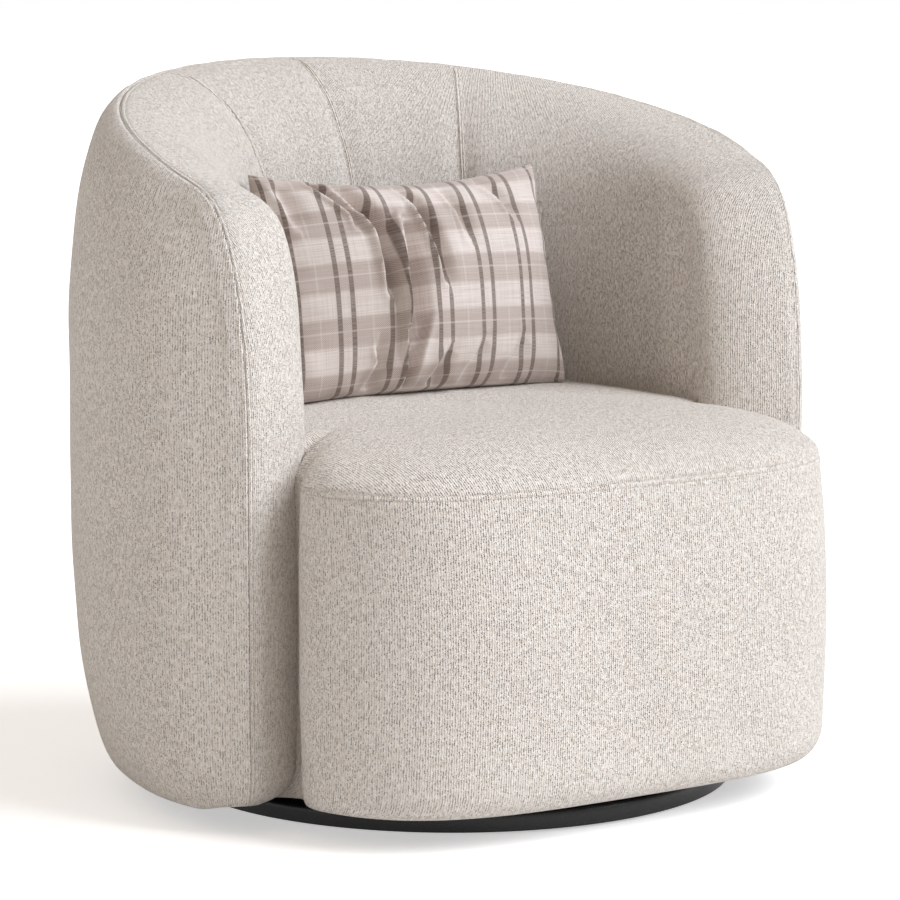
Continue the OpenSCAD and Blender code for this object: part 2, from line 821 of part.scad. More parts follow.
// Ribs and posts stand at columns of the wall's mesh, so that the boards touch them all the way up
rib_cols = [0, 3, 7, 9, 11];
post_col = back_cols + side_cols;
rib_places = concat([for (j = rib_cols) top_s(j)], [for (j = rib_cols) if (j > 0) -top_s(j)]);
post_t = 25;
post_setback = 14;
post_s = top_s(post_col) - post_setback;
rib_gap = 5;
// The bottom rail's inner edge, the top rail's depth below the rim, and the foam's edge round the rim
rail_inner_w = -126;
rail_drop = 46;
foam_edge = 30;

// Long screws up through the tack strip, the deck and the bottom rail into the ribs and posts
screw_w = strip_edge_w - strip_w / 2;
frame_screw_l = 60;
screw_sink = 2;

module wall_screw_holes(low, high) {
    for (s = concat(rib_places, [-post_s, post_s]))
        let (p = wall_xy(s, screw_w - front_draw(s)))
        translate([p[0], p[1], low])
            cylinder(d = screw_d + 2 * tread_gap, h = high - low);
}

module frame_screws() {
    color(steel)
        for (s = concat(rib_places, [-post_s, post_s]))
            let (p = wall_xy(s, screw_w - front_draw(s)))
            translate([p[0], p[1], pad_foot + screw_sink])
                cylinder(d = screw_d, h = frame_screw_l);
}

module wall_bottom_rail() {
    color(ply)
        difference() {
            wall_band(edge_side(rail_edge_w), inner_side(rail_inner_w), deck_top, rib_t);
            wall_screw_holes(deck_top - overlap, rail_top + overlap);
        }
}

// The boards that the padding lies on follow the padding's mesh, from the row below up to board_rows
board_rows = wall_rows - 2;
function cut_row(below, above, z) =
    [for (i = [0:len(below) - 1])
        mix(below[i], above[i], (z - below[i][2]) / (above[i][2] - below[i][2]))
    ];
function first_above(grid, z) = [for (r = [0:len(grid) - 1]) if (grid[r][0][2] > z) r][0];
function board_grid(grid, rows) =
    let (first = first_above(grid, rail_top))
    concat([cut_row(grid[first - 1], grid[first], rail_top)], [for (r = [first:rows]) grid[r]]);
function outer_board(extra, rows = board_rows) =
    let (deep = pad_in + board_gap + extra)
    board_grid(sheet(true, pad_in, deep, deep, pad_foot, pad_foot, -post_col, post_col), rows);
function inner_board(extra, rows = board_rows) =
    let (back = pad_deep + back_foam_t + board_gap + extra, arm = pad_deep + arm_foam_t + board_gap + extra)
    board_grid(sheet(false, foam_edge, back, arm, deck_top + gap, pad_foot, -post_col, post_col), rows);
outer_frame_face = outer_board(liner_t + rib_gap, board_rows + 1);
inner_frame_face = inner_board(liner_t + rib_gap, board_rows + 1);

// An upright board across the wall at column j, cut off below the top rail
function in_section(p, s) = [([p[0], p[1]] - plan_at(turn_at(s))) * plan_out(turn_at(s)), p[2]];
function board_side(grid, j, s, top) =
    let (line = [for (row = grid) in_section(row[j + post_col], s)])
    concat(
        [for (p = line) if (p[1] < top) p],
        [[lookup(top, [for (p = line) [p[1], p[0]]]), top]]
    );
module upright_board(j, thick, setback = 0) {
    s = (j < 0 ? -1 : 1) * (top_s(abs(j)) - setback);
    out = plan_out(turn_at(s));
    foot = plan_at(turn_at(s));
    top = rim_h(abs(s) + thick / 2 + back_lean) - rail_drop - top_rail_t - board_gap;
    translate([foot[0], foot[1], 0])
        rotate([90, 0, atan2(out[1], out[0])])
            translate([0, 0, -thick / 2])
                linear_extrude(thick)
                    polygon(concat(
                        board_side(outer_frame_face, j, s, top),
                        flip(board_side(inner_frame_face, j, s, top))
                    ));
}

module wall_ribs() {
    color(ply)
        difference() {
            union()
                for (j = rib_cols, side = j > 0 ? [-1, 1] : [1])
                    upright_board(side * j, rib_t);
            wall_screw_holes(rail_top - overlap, pad_foot + screw_sink + frame_screw_l + overlap);
        }
}

module arm_posts() {
    color(ply)
        difference() {
            union()
                for (side = [-1, 1])
                    upright_board(side * post_col, post_t, post_setback);
            wall_screw_holes(rail_top - overlap, pad_foot + screw_sink + frame_screw_l + overlap);
        }
}

// The top rail follows the rim at a steady depth below it
rail_steps = 24;
module wall_top_rail() {
    rail_w = -rim_depth - rim_margin;
    function rail_row(h, w) =
        [for (i = [0:rail_steps])
            let (s = mix(-post_s, post_s, i / rail_steps))
            wall_point(s, w, rim_h(abs(s)) - rail_drop - h)
        ];
    color(ply)
        layer(
            [rail_row(top_rail_t, rail_w - top_rail_w / 2), rail_row(0, rail_w - top_rail_w / 2)],
            [rail_row(top_rail_t, rail_w + top_rail_w / 2), rail_row(0, rail_w + top_rail_w / 2)]
        );
}

module outer_liner() {
    color(board)
        layer(outer_board(liner_t), outer_board(0));
}

module inner_liner() {
    color(board)
        layer(inner_board(0), inner_board(liner_t));
}

// Padding of the wall

module outer_wadding() {
    color(fibre)
        layer(
            sheet(true, pad_in, pad_in, pad_in, pad_foot, pad_foot, -half_cols, half_cols, gap / 2),
            sheet(true, pad_deep, pad_deep, pad_deep, pad_foot, pad_foot, -half_cols, half_cols, gap / 2)
        );
}

module inner_foam() {
    color(foam)
        layer(
            sheet(false, pad_deep, pad_deep, pad_deep, deck_top + gap, pad_foot, -half_cols, half_cols,
                1.5 * gap),
            sheet(false, foam_edge, pad_deep + back_foam_t, pad_deep + arm_foam_t,
                deck_top + gap, pad_foot, -half_cols, half_cols, 1.5 * gap)
        );
}

// Covers of the wall

// Widths of the hems that turn in below the drum and beside the arm, and a step that keeps the
// wall's hem from folding onto itself at the arm front
seat_hem_w = 24;
crease_hem_w = 8;
hem_step = 3;
function hem_row(deep) =
    [for (j = [-half_cols:half_cols])
        let (edge_s = half_rim(abs(j), deep)[0], s = edge_s > front_foot_s ? edge_s - hem_step : edge_s)
        wall_point((j < 0 ? -1 : 1) * s, max(hem_end_w - front_draw(s), -seam_depth(0)), wall_foot + deep)
    ];
module outer_cover() {
    color(cloth)
        layer(
            concat([hem_row(cover_t)],
                sheet(true, cover_t, cover_t, cover_t, wall_foot + cover_t, wall_foot + cover_t,
                    -half_cols, half_cols)),
            concat([hem_row(0)], sheet(true, 0, 0, 0, wall_foot, wall_foot, -half_cols, half_cols))
        );
}

module inner_panel(from, to) {
    color(cloth)
        layer(
            sheet(false, 0, 0, 0, deck_top + gap, wall_foot, from, to, gap),
            sheet(false, cover_t, cover_t, cover_t, deck_top + gap, wall_foot + cover_t, from, to, gap)
        );
}
module left_arm_panel() { inner_panel(-half_cols, -back_cols); }
module left_back_panel() { inner_panel(-back_cols, 0); }
module right_back_panel() { inner_panel(0, back_cols); }
module right_arm_panel() { inner_panel(back_cols, half_cols); }

// Seat padding and covers

module dome(low_rings, ring, drop) {
    n = len(ring);
    rings = concat(low_rings, [for (share = dome_shares) dome_ring(ring, share, drop)]);
    tip = [seat_middle[0], seat_middle[1], crown_h(seat_middle) - drop];
    low = [seat_middle[0], seat_middle[1], rings[0][0][2]];
    count = len(rings) * n;
    polyhedron(
        points = concat(flat(rings), [tip, low]),
        faces = concat(
            ring_faces(len(rings), n, 0, false),
            fan_faces(n, count - n, count, false),
            fan_faces(n, 0, count + 1, true)
        )
    );
}

// Room beside the arm, the apron foam's thickness there, and how far the seat foam lies below its cover
crease_slack = 2;
crease_foam_t = 10;
foam_sink = 3;
module seat_foam() {
    side_rows = [for (row = face_table) if (row[0] > foam_h + pad_deep && row[0] < seat_seam_h) row[0]];
    color(foam)
        dome(
            [for (z = concat([foam_h + gap], side_rows))
                ring_at(seat_ring(face_at(z) + pad_deep, pad_deep + crease_slack, z), z)
            ],
            seat_ring(seam_inset + pad_deep, pad_deep + crease_slack, seat_seam_h),
            pad_deep + foam_sink
        );
}

// The top panel's edge stands on the border's
module seat_top_cover() {
    inside = seat_ring(seam_inset + cover_t, cover_t, seat_seam_h);
    n = len(top_ring);
    top = [for (share = dome_shares) dome_ring(top_ring, share, 0)];
    under = [for (share = dome_shares) dome_ring(inside, share, share < 1 ? cover_t : 0)];
    count = len(top) * n;
    tip = [seat_middle[0], seat_middle[1], crown_h(seat_middle)];
    color(cloth)
        polyhedron(
            points = concat(flat(top), flat(under), [tip, tip - [0, 0, cover_t]]),
            faces = concat(
                ring_faces(len(top), n, 0, false),
                fan_faces(n, count - n, 2 * count, false),
                ring_faces(len(top), n, count, true),
                fan_faces(n, 2 * count - n, 2 * count + 1, true),
                edge_faces([for (i = [0:n - 1]) i], count)
            )
        );
}

// The drum's upright face, from the arm front on one side round to the other
function face_row(inset, deep, crease_deep, z) =
    let (
        crease = nose_point(nose_from, crease_deep, z),
        half = concat(front_part(inset + deep), flare_part(inset + deep), [crease])
    )
    ring_at(concat(left_of(half), half), z);

module seat_border_cover() {
    function border(deep) = concat(
        [face_row(seat_edge_r + seat_hem_w, deep, deep + crease_hem_w, seat_foot + deep)],
        [for (row = face_table) face_row(row[1], deep, deep, max(row[0], seat_foot + deep))]
    );
    color(cloth)
        layer(border(0), border(cover_t));
}

module seat_apron_foam() {
    low = seat_foot + pad_deep;
    heights = concat(
        [for (row = face_table) if (row[0] > low + pad_deep && row[0] < foam_h - pad_deep) row[0]],
        [foam_h]
    );
    color(foam)
        layer(
            concat(
                [face_row(seat_edge_r, pad_deep, pad_deep + crease_slack, low)],
                [for (z = heights) face_row(face_at(z), pad_deep, pad_deep + crease_slack, z)]
            ),
            [for (z = concat([low], heights))
                face_row(0, pad_deep + apron_foam_t, pad_deep + crease_foam_t, z)
            ]
        );
}

// Lumbar pillow

pillow_cols = 16;
pillow_rows = 12;
pillow_gap = 0.5;      // between the pillow's lower corners and the seat
pillow_slack = 1.2;    // between the filling and the covers
pillow_edge = 0.4;     // between the two covers at their seam
pillow_x = -2;
pillow_foot_y = 47;
pillow_fullness = 0.42;
pillow_at = [
    pillow_x,
    pillow_foot_y + sin(pillow_lean) * pillow_h / 2,
    crown_h([pillow_w / 2, pillow_foot_y]) + pillow_gap + cos(pillow_lean) * pillow_h / 2
];

// The fold down the pillow's face, in shares of its half width and half thickness
fold_x = -0.16;
fold_w = 0.13;
fold_depth = 0.32;
fold_slant = 0.05;
fold_middle = 0.55;
function pillow_spread(i, n) = sin(90 * (2 * i / n - 1));
function pillow_fold(a, b) =
    let (x = a - fold_x - fold_slant * b)
    1 - fold_depth * exp(-pow(x / fold_w, 2)) * mix(fold_middle, 1, abs(b));
function pillow_swell(a, b, side) =
    pow(max(0, (1 - a * a) * (1 - b * b)), pillow_fullness) * (side > 0 ? pillow_fold(a, b) : 1);
function pillow_grid(side, inset) =
    [for (r = [0:pillow_rows])
        [for (c = [0:pillow_cols])
            let (
                a = pillow_spread(c, pillow_cols),
                b = pillow_spread(r, pillow_rows),
                x = (pillow_w / 2 - inset) * a * (1 - pillow_draw * (1 - b * b)),
                z = (pillow_h / 2 - inset) * b * (1 - pillow_draw * (1 - a * a)),
                y = -side * (pillow_t / 2 - inset) * pillow_swell(a, b, side)
            )
            [x, y, z]
        ]
    ];
module pillow_place() {
    translate(pillow_at)
        rotate([-pillow_lean, 0, 0])
            children();
}

// Both covers meet at the pillow's edge seam, and the filled insert lies between them
function pushed(grid, y) = [for (row = grid) [for (p = row) p + [0, y, 0]]];
module pillow_front_cover() {
    color(plaid)
        pillow_place()
            layer(
                pushed(pillow_grid(1, 0), -pillow_edge - cover_t / 2),
                pushed(pillow_grid(1, cover_t), -pillow_edge / 2)
            );
}
module pillow_back_cover() {
    color(plaid)
        pillow_place()
            layer(
                pushed(pillow_grid(-1, cover_t), pillow_edge / 2),
                pushed(pillow_grid(-1, 0), pillow_edge + cover_t / 2)
            );
}
module pillow_insert() {
    inset = cover_t + pillow_slack;
    color(fibre)
        pillow_place()
            layer(
                pushed(pillow_grid(1, inset), -pillow_edge / 3),
                pushed(pillow_grid(-1, inset), pillow_edge / 3)
            );
}

base_pan();
base_core();
floor_ring();
base_screws();
swivel_lower_plate();
lower_plate_bolts();
pivot_rivet();
pivot_washer();
ball_cage();
bearing_balls();
swivel_upper_plate();
upper_plate_bolts();
tee_nuts();
bottom_deck();
tack_strip();
dust_cover();
seat_side_rails();
seat_back_rail();
seat_fascia();
corner_blocks();
webbing_lengthwise();
webbing_crosswise();
frame_screws();
wall_bottom_rail();
wall_ribs();
arm_posts();
wall_top_rail();
outer_liner();
inner_liner();
outer_wadding();
inner_foam();
outer_cover();
left_arm_panel();
left_back_panel();
right_back_panel();
right_arm_panel();
seat_foam();
seat_apron_foam();
seat_top_cover();
seat_border_cover();
pillow_front_cover();
pillow_back_cover();
pillow_insert();
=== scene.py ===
"""Dresses the swivel tub armchair in Blender.

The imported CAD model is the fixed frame. The padded parts are rebuilt here as finer closed forms in the
same places: the wall's outer cover and four inner panels with their sewn seams, the drum seat's top and
border, and the plaid lumbar pillow. The base, the swivel and the timber frame keep their CAD shapes and
get their finishes. Lengths are millimetres in the classes and metres in the meshes.
"""

import logging
import math
from dataclasses import dataclass, field
from enum import Enum
from functools import partial
from typing import Any, Callable, Sequence

import bpy
import numpy as np
from bpy.types import Material, Node, NodeSocket, NodeTree, Object, World
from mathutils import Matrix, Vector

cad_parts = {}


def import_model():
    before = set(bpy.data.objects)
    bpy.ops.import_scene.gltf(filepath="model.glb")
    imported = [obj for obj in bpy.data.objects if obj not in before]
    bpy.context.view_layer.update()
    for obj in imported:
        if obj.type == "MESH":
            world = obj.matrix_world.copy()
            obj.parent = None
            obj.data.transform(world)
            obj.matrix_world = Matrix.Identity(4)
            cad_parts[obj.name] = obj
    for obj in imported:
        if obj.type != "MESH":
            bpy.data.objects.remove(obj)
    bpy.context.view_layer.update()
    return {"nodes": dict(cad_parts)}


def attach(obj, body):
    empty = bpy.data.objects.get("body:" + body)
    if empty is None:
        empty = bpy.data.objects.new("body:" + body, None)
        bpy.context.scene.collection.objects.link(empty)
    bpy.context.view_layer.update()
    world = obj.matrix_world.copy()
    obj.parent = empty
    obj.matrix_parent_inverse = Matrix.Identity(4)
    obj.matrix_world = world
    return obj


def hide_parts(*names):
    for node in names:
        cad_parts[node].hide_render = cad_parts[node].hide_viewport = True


Array = np.ndarray
Pair = tuple[float, float]
Triple = tuple[float, float, float]
# A form's points and its faces, and a seam's line with its normals and how far it is moved
Form = tuple[Array, list]
SeamLine = tuple[Array, Array, Array]
AddNode = Callable[..., Node]

LOG = logging.getLogger("tub_chair")
CLOTH_MAP = "cloth"
MM = 0.001
# A length that only keeps a division by it safe
TINY = 1e-12
# Turns a level point on the right into its twin on the left
MIRROR = np.array([-1.0, 1.0])
# Where a mesh is cut beside a seam, in millimetres from it: closest over the groove and the stitches
SEAM_STEPS = np.array([0.0, 0.5, 1.1, 1.8, 2.6, 3.5, 4.3, 5.0, 5.7, 6.6, 8.2, 11.0, 15.0, 21.0])


class Slot(Enum):
    """The record's material slots."""

    BLACK_STEEL = "black_steel"
    FIBREBOARD = "fibreboard"
    RUBBER = "rubber"
    ZINC_STEEL = "zinc_steel"
    NYLON = "nylon"
    BEARING_STEEL = "bearing_steel"
    PLYWOOD = "plywood"
    DUST_CLOTH = "dust_cloth"
    WEBBING = "webbing"
    LINEN = "linen"
    PLAID = "plaid"


class Body(Enum):
    """The moving bodies that pieces of this file ride on."""

    CHAIR = "chair"
    PILLOW = "pillow"


class Side(Enum):
    """The two faces of the padded wall."""

    OUTER = 1
    INNER = -1


# Small mathematical helpers


def mix(a: Any, b: Any, k: Any) -> Any:
    """Returns the value that lies the share k of the way from a to b."""
    return a + (b - a) * k


def limit(k: Any) -> Any:
    """Returns k held between 0 and 1."""
    return np.clip(k, 0.0, 1.0)


def ease(k: Any) -> Any:
    """Returns a share from 0 to 1 with a soft start and end."""
    held = limit(k)
    return held * held * (3.0 - 2.0 * held)


def roll(q: Any) -> Any:
    """Returns the height of a quarter circle at the share q of its width."""
    return np.sqrt(1.0 - (1.0 - limit(q)) ** 2)


def bump_at(distance: Any, width: float) -> Any:
    """Returns a smooth bell from 1 at no distance to nearly 0 at twice the width."""
    return np.exp(-((distance / width) ** 2))


def side_of(place: Any) -> Any:
    """Returns -1 for a place left of the middle of the back, and 1 for any other."""
    return np.where(place < 0.0, -1.0, 1.0)


def unit(vectors: Array) -> Array:
    """Returns vectors, which lie along the last axis, made 1 long."""
    return vectors / np.maximum(np.linalg.norm(vectors, axis=-1), TINY)[..., None]


def lengths_along(points: Array, axis: int = 0) -> Array:
    """Measures how far each point lies along its line.

    Args:
        points: The points, whose coordinates lie along the last axis.
        axis: The axis that runs along the lines.

    Returns:
        The lengths, from 0 at each line's first point.
    """
    steps = np.linalg.norm(np.diff(points, axis=axis), axis=-1)
    start = np.zeros_like(steps.take([0], axis=axis))
    return np.concatenate([start, np.cumsum(steps, axis=axis)], axis=axis)


def graded(length: float, step: float, fine_start: bool, fine_end: bool) -> Array:
    """Spaces points along a length, closer together beside a seam.

    Args:
        length: The length to divide.
        step: The widest spacing.
        fine_start: True if a seam runs along the start.
        fine_end: True if a seam runs along the end.

    Returns:
        The places of the points, from 0 to the length.
    """
    start = SEAM_STEPS if fine_start else np.array([0.0])
    end = length - SEAM_STEPS[::-1] if fine_end else np.array([length])
    middle_steps = max(2, int(round((end[0] - start[-1]) / step)))
    middle = np.linspace(start[-1], end[0], middle_steps + 1)[1:-1]
    return np.concatenate([start, middle, end])


def waviness(points: Array, length: float, seed: int) -> Array:
    """Gives each point a smooth pseudo-random number from about -1 to 1.

    Args:
        points: Points in millimetres, along the last axis.
        length: The usual length of one wave, in millimetres.
        seed: Which of the patterns to use.

    Returns:
        One number for each point.
    """
    waves = 9
    slowest, fastest = 0.7, 1.6
    draw = np.random.default_rng(seed)
    directions = unit(draw.normal(size=(waves, 3)))
    pace = 2.0 * math.pi / (length * draw.uniform(slowest, fastest, waves))
    shift = draw.uniform(0.0, 2.0 * math.pi, waves)
    return np.sin(points @ (directions * pace[:, None]).T + shift).sum(-1) / math.sqrt(waves)


# Meshes


def grid_normals(grid: Array) -> Array:
    """Works out the unit normals of a grid of points.

    Args:
        grid: Points, as rows by columns by 3.

    Returns:
        The normals, which point to the side that the columns and then the rows turn towards.
    """
    return unit(np.cross(np.gradient(grid, axis=1), np.gradient(grid, axis=0)))


def grid_quads(rows: int, cols: int, first: int, flipped: bool) -> Array:
    """Lists the quads of a grid whose points are numbered row by row.

    Args:
        rows: How many rows it has.
        cols: How many columns it has.
        first: The number of its first point.
        flipped: True if the quads face the other way.

    Returns:
        The quads, as rows of four numbers.
    """
    at = first + np.arange(rows * cols).reshape(rows, cols)
    quads = np.stack([at[:-1, :-1], at[:-1, 1:], at[1:, 1:], at[1:, :-1]], axis=-1).reshape(-1, 4)
    return quads[:, ::-1] if flipped else quads


def edge_loop(rows: int, cols: int) -> Array:
    """Numbers the border points of a grid in order round it."""
    at = np.arange(rows * cols).reshape(rows, cols)
    return np.concatenate([at[0, :-1], at[:-1, -1], at[-1, :0:-1], at[:0:-1, 0]])


def closed_form(front: Array, back: Array) -> Form:
    """Joins two grids of the same size into one closed form.

    Args:
        front: The visible side's points, as rows by columns by 3, with rows that run up and columns
            that run to the right as seen from that side.
        back: The hidden side's points, in the same order.

    Returns:
        The points, and the faces as lists of their numbers.
    """
    rows, cols = front.shape[:2]
    count = rows * cols
    loop = edge_loop(rows, cols)
    after = np.roll(loop, -1)
    walls = np.stack([after, loop, loop + count, after + count], axis=-1)
    faces = np.concatenate([
        grid_quads(rows, cols, 0, False),
        grid_quads(rows, cols, count, True),
        walls,
    ])
    return np.concatenate([front.reshape(-1, 3), back.reshape(-1, 3)]), faces.tolist()


def joined(parts: Sequence[Form]) -> Form:
    """Puts several forms into one.

    Args:
        parts: The forms.

    Returns:
        The one form.
    """
    points, faces, first = [], [], 0
    for part_points, part_faces in parts:
        points.append(part_points)
        faces.extend([[n + first for n in face] for face in part_faces])
        first += len(part_points)
    return np.concatenate(points), faces


def make_piece(
    name: str,
    points: Array,
    faces: Sequence[Sequence[int]],
    material: Material,
    cloth: Array | None = None,
    crease: float = 55.0,
) -> Object:
    """Makes a mesh object in the row's frame.

    Args:
        name: The piece's name.
        points: Points in millimetres, one a row.
        faces: The faces, as lists of point numbers.
        material: The finish of the whole piece.
        cloth: Where each point lies on the flat cloth, in millimetres, for a woven finish.
        crease: The angle in degrees above which an edge looks sharp.

    Returns:
        The new object.
    """
    mesh = bpy.data.meshes.new(name)
    mesh.from_pydata((points * MM).tolist(), [], faces)
    mesh.materials.append(material)
    if cloth is not None:
        corners = np.empty(len(mesh.loops), np.int64)
        mesh.loops.foreach_get("vertex_index", corners)
        layer = mesh.uv_layers.new(name=CLOTH_MAP)
        layer.data.foreach_set("uv", (cloth[corners] * MM).astype(np.float32).ravel())
    mesh.polygons.foreach_set("use_smooth", [True] * len(mesh.polygons))
    mesh.set_sharp_from_angle(angle=math.radians(crease))
    mesh.validate()
    piece = bpy.data.objects.new(name, mesh)
    bpy.context.scene.collection.objects.link(piece)
    return piece


def place(piece: Object, body: Body, slot: Slot, replaced: Sequence[str] = ()) -> None:
    """Puts a piece on its body, hides the CAD nodes that it stands for, and reports it.

    Args:
        piece: The piece.
        body: The body that it rides on.
        slot: Its material slot. Not used.
        replaced: The CAD nodes that it stands for.
    """
    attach(piece, body.value)
    if replaced:
        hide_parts(*replaced)
    LOG.info("%s: %d faces, rides on %s", piece.name, len(piece.data.polygons), body.value)


def make_pad(
    name: str,
    front: Array,
    back: Array,
    cloth: Array,
    material: Material,
    replaced: Sequence[str],
) -> None:
    """Makes a closed pad of cloth and padding, and puts it on the chair.

    Args:
        name: The pad's name.
        front: The cloth's points, as rows by columns by 3.
        back: The padding's hidden points, in the same order.
        cloth: Where each point of the front lies on the flat cloth, in millimetres.
        material: The cloth's finish.
        replaced: The CAD nodes that the pad stands for.
    """
    points, faces = closed_form(front, back)
    both_sides = np.concatenate([cloth.reshape(-1, 2)] * 2)
    pad = make_piece(name, points, faces, material, both_sides)
    place(pad, Body.CHAIR, Slot.LINEN, replaced)


# Finishes


def linear(colour: str) -> tuple[float, float, float, float]:
    """Turns an sRGB colour into the linear one that a shader takes.

    Args:
        colour: The sRGB colour in hex, such as #e8e2d9.

    Returns:
        Red, green, blue and an alpha of 1.
    """
    parts = [int(colour[i : i + 2], 16) / 255.0 for i in (1, 3, 5)]
    red, green, blue = [c / 12.92 if c <= 0.04045 else ((c + 0.055) / 1.055) ** 2.4 for c in parts]
    return red, green, blue, 1.0


def add_node(
    tree: NodeTree,
    kind: str,
    settings: dict[str | int, Any] | None = None,
    links: dict[str | int, NodeSocket | Node] | None = None,
) -> Node:
    """Adds a shader node.

    Args:
        tree: The material's node tree.
        kind: The node's type, without its usual first word.
        settings: Values by input name or number, or by the name of the node's own setting.
        links: What to link from, by input name or number. A node stands for its first output.

    Returns:
        The new node.
    """
    node = tree.nodes.new(f"ShaderNode{kind}")
    for name, value in (settings or {}).items():
        if isinstance(name, int) or name in node.inputs:
            node.inputs[name].default_value = value
        else:
            setattr(node, name, value)
    for name, source in (links or {}).items():
        socket = source.outputs[0] if isinstance(source, Node) else source
        tree.links.new(socket, node.inputs[name])
    return node


def node_adder(owner: Material | World) -> AddNode:
    """Empties the node tree of a material or a world.

    Args:
        owner: The material or world.

    Returns:
        The function that adds a node to its tree.
    """
    owner.use_nodes = True
    owner.node_tree.nodes.clear()
    return partial(add_node, owner.node_tree)


def colour_steps(node: Node, steps: Sequence[tuple[float, str]]) -> None:
    """Gives a colour ramp its steps.

    Args:
        node: The ramp.
        steps: Each step's place from 0 to 1, and its sRGB hex colour.
    """
    marks = node.color_ramp.elements
    while len(marks) < len(steps):
        marks.new(1.0)
    for mark, (at, colour) in zip(marks, steps):
        mark.position = at
        mark.color = linear(colour)


@dataclass(frozen=True)
class Finish:
    """A finish with one colour. Finishes with a pattern build on it."""

    name: str
    colour: str
    roughness: float
    metallic: float = 0.0

    def plain_values(self) -> dict[str, Any]:
        """Returns the values that are the same all over, by the shader's input names."""
        return {"Base Color": linear(self.colour), "Roughness": self.roughness, "Metallic": self.metallic}

    def pattern(self, add: AddNode) -> dict[str, Any]:
        """Adds the pattern's nodes and returns what they link to, by the shader's input names."""
        return {}

    def make(self) -> Material:
        """Makes the material.

        Returns:
            The material.
        """
        material = bpy.data.materials.new(self.name)
        add = node_adder(material)
        shader = add("BsdfPrincipled", self.plain_values(), self.pattern(add))
        add("OutputMaterial", links={"Surface": shader})
        material.diffuse_color = linear(self.colour)
        return material


@dataclass(frozen=True)
class WovenCloth(Finish):
    """A cloth whose loose fibre ends give it a faint sheen where it turns away."""

    sheen: float = 0.12
    sheen_roughness: float = 0.5

    def plain_values(self) -> dict[str, Any]:
        """Adds the sheen to the plain values."""
        sheen = {"Sheen Weight": self.sheen, "Sheen Roughness": self.sheen_roughness}
        return super().plain_values() | sheen


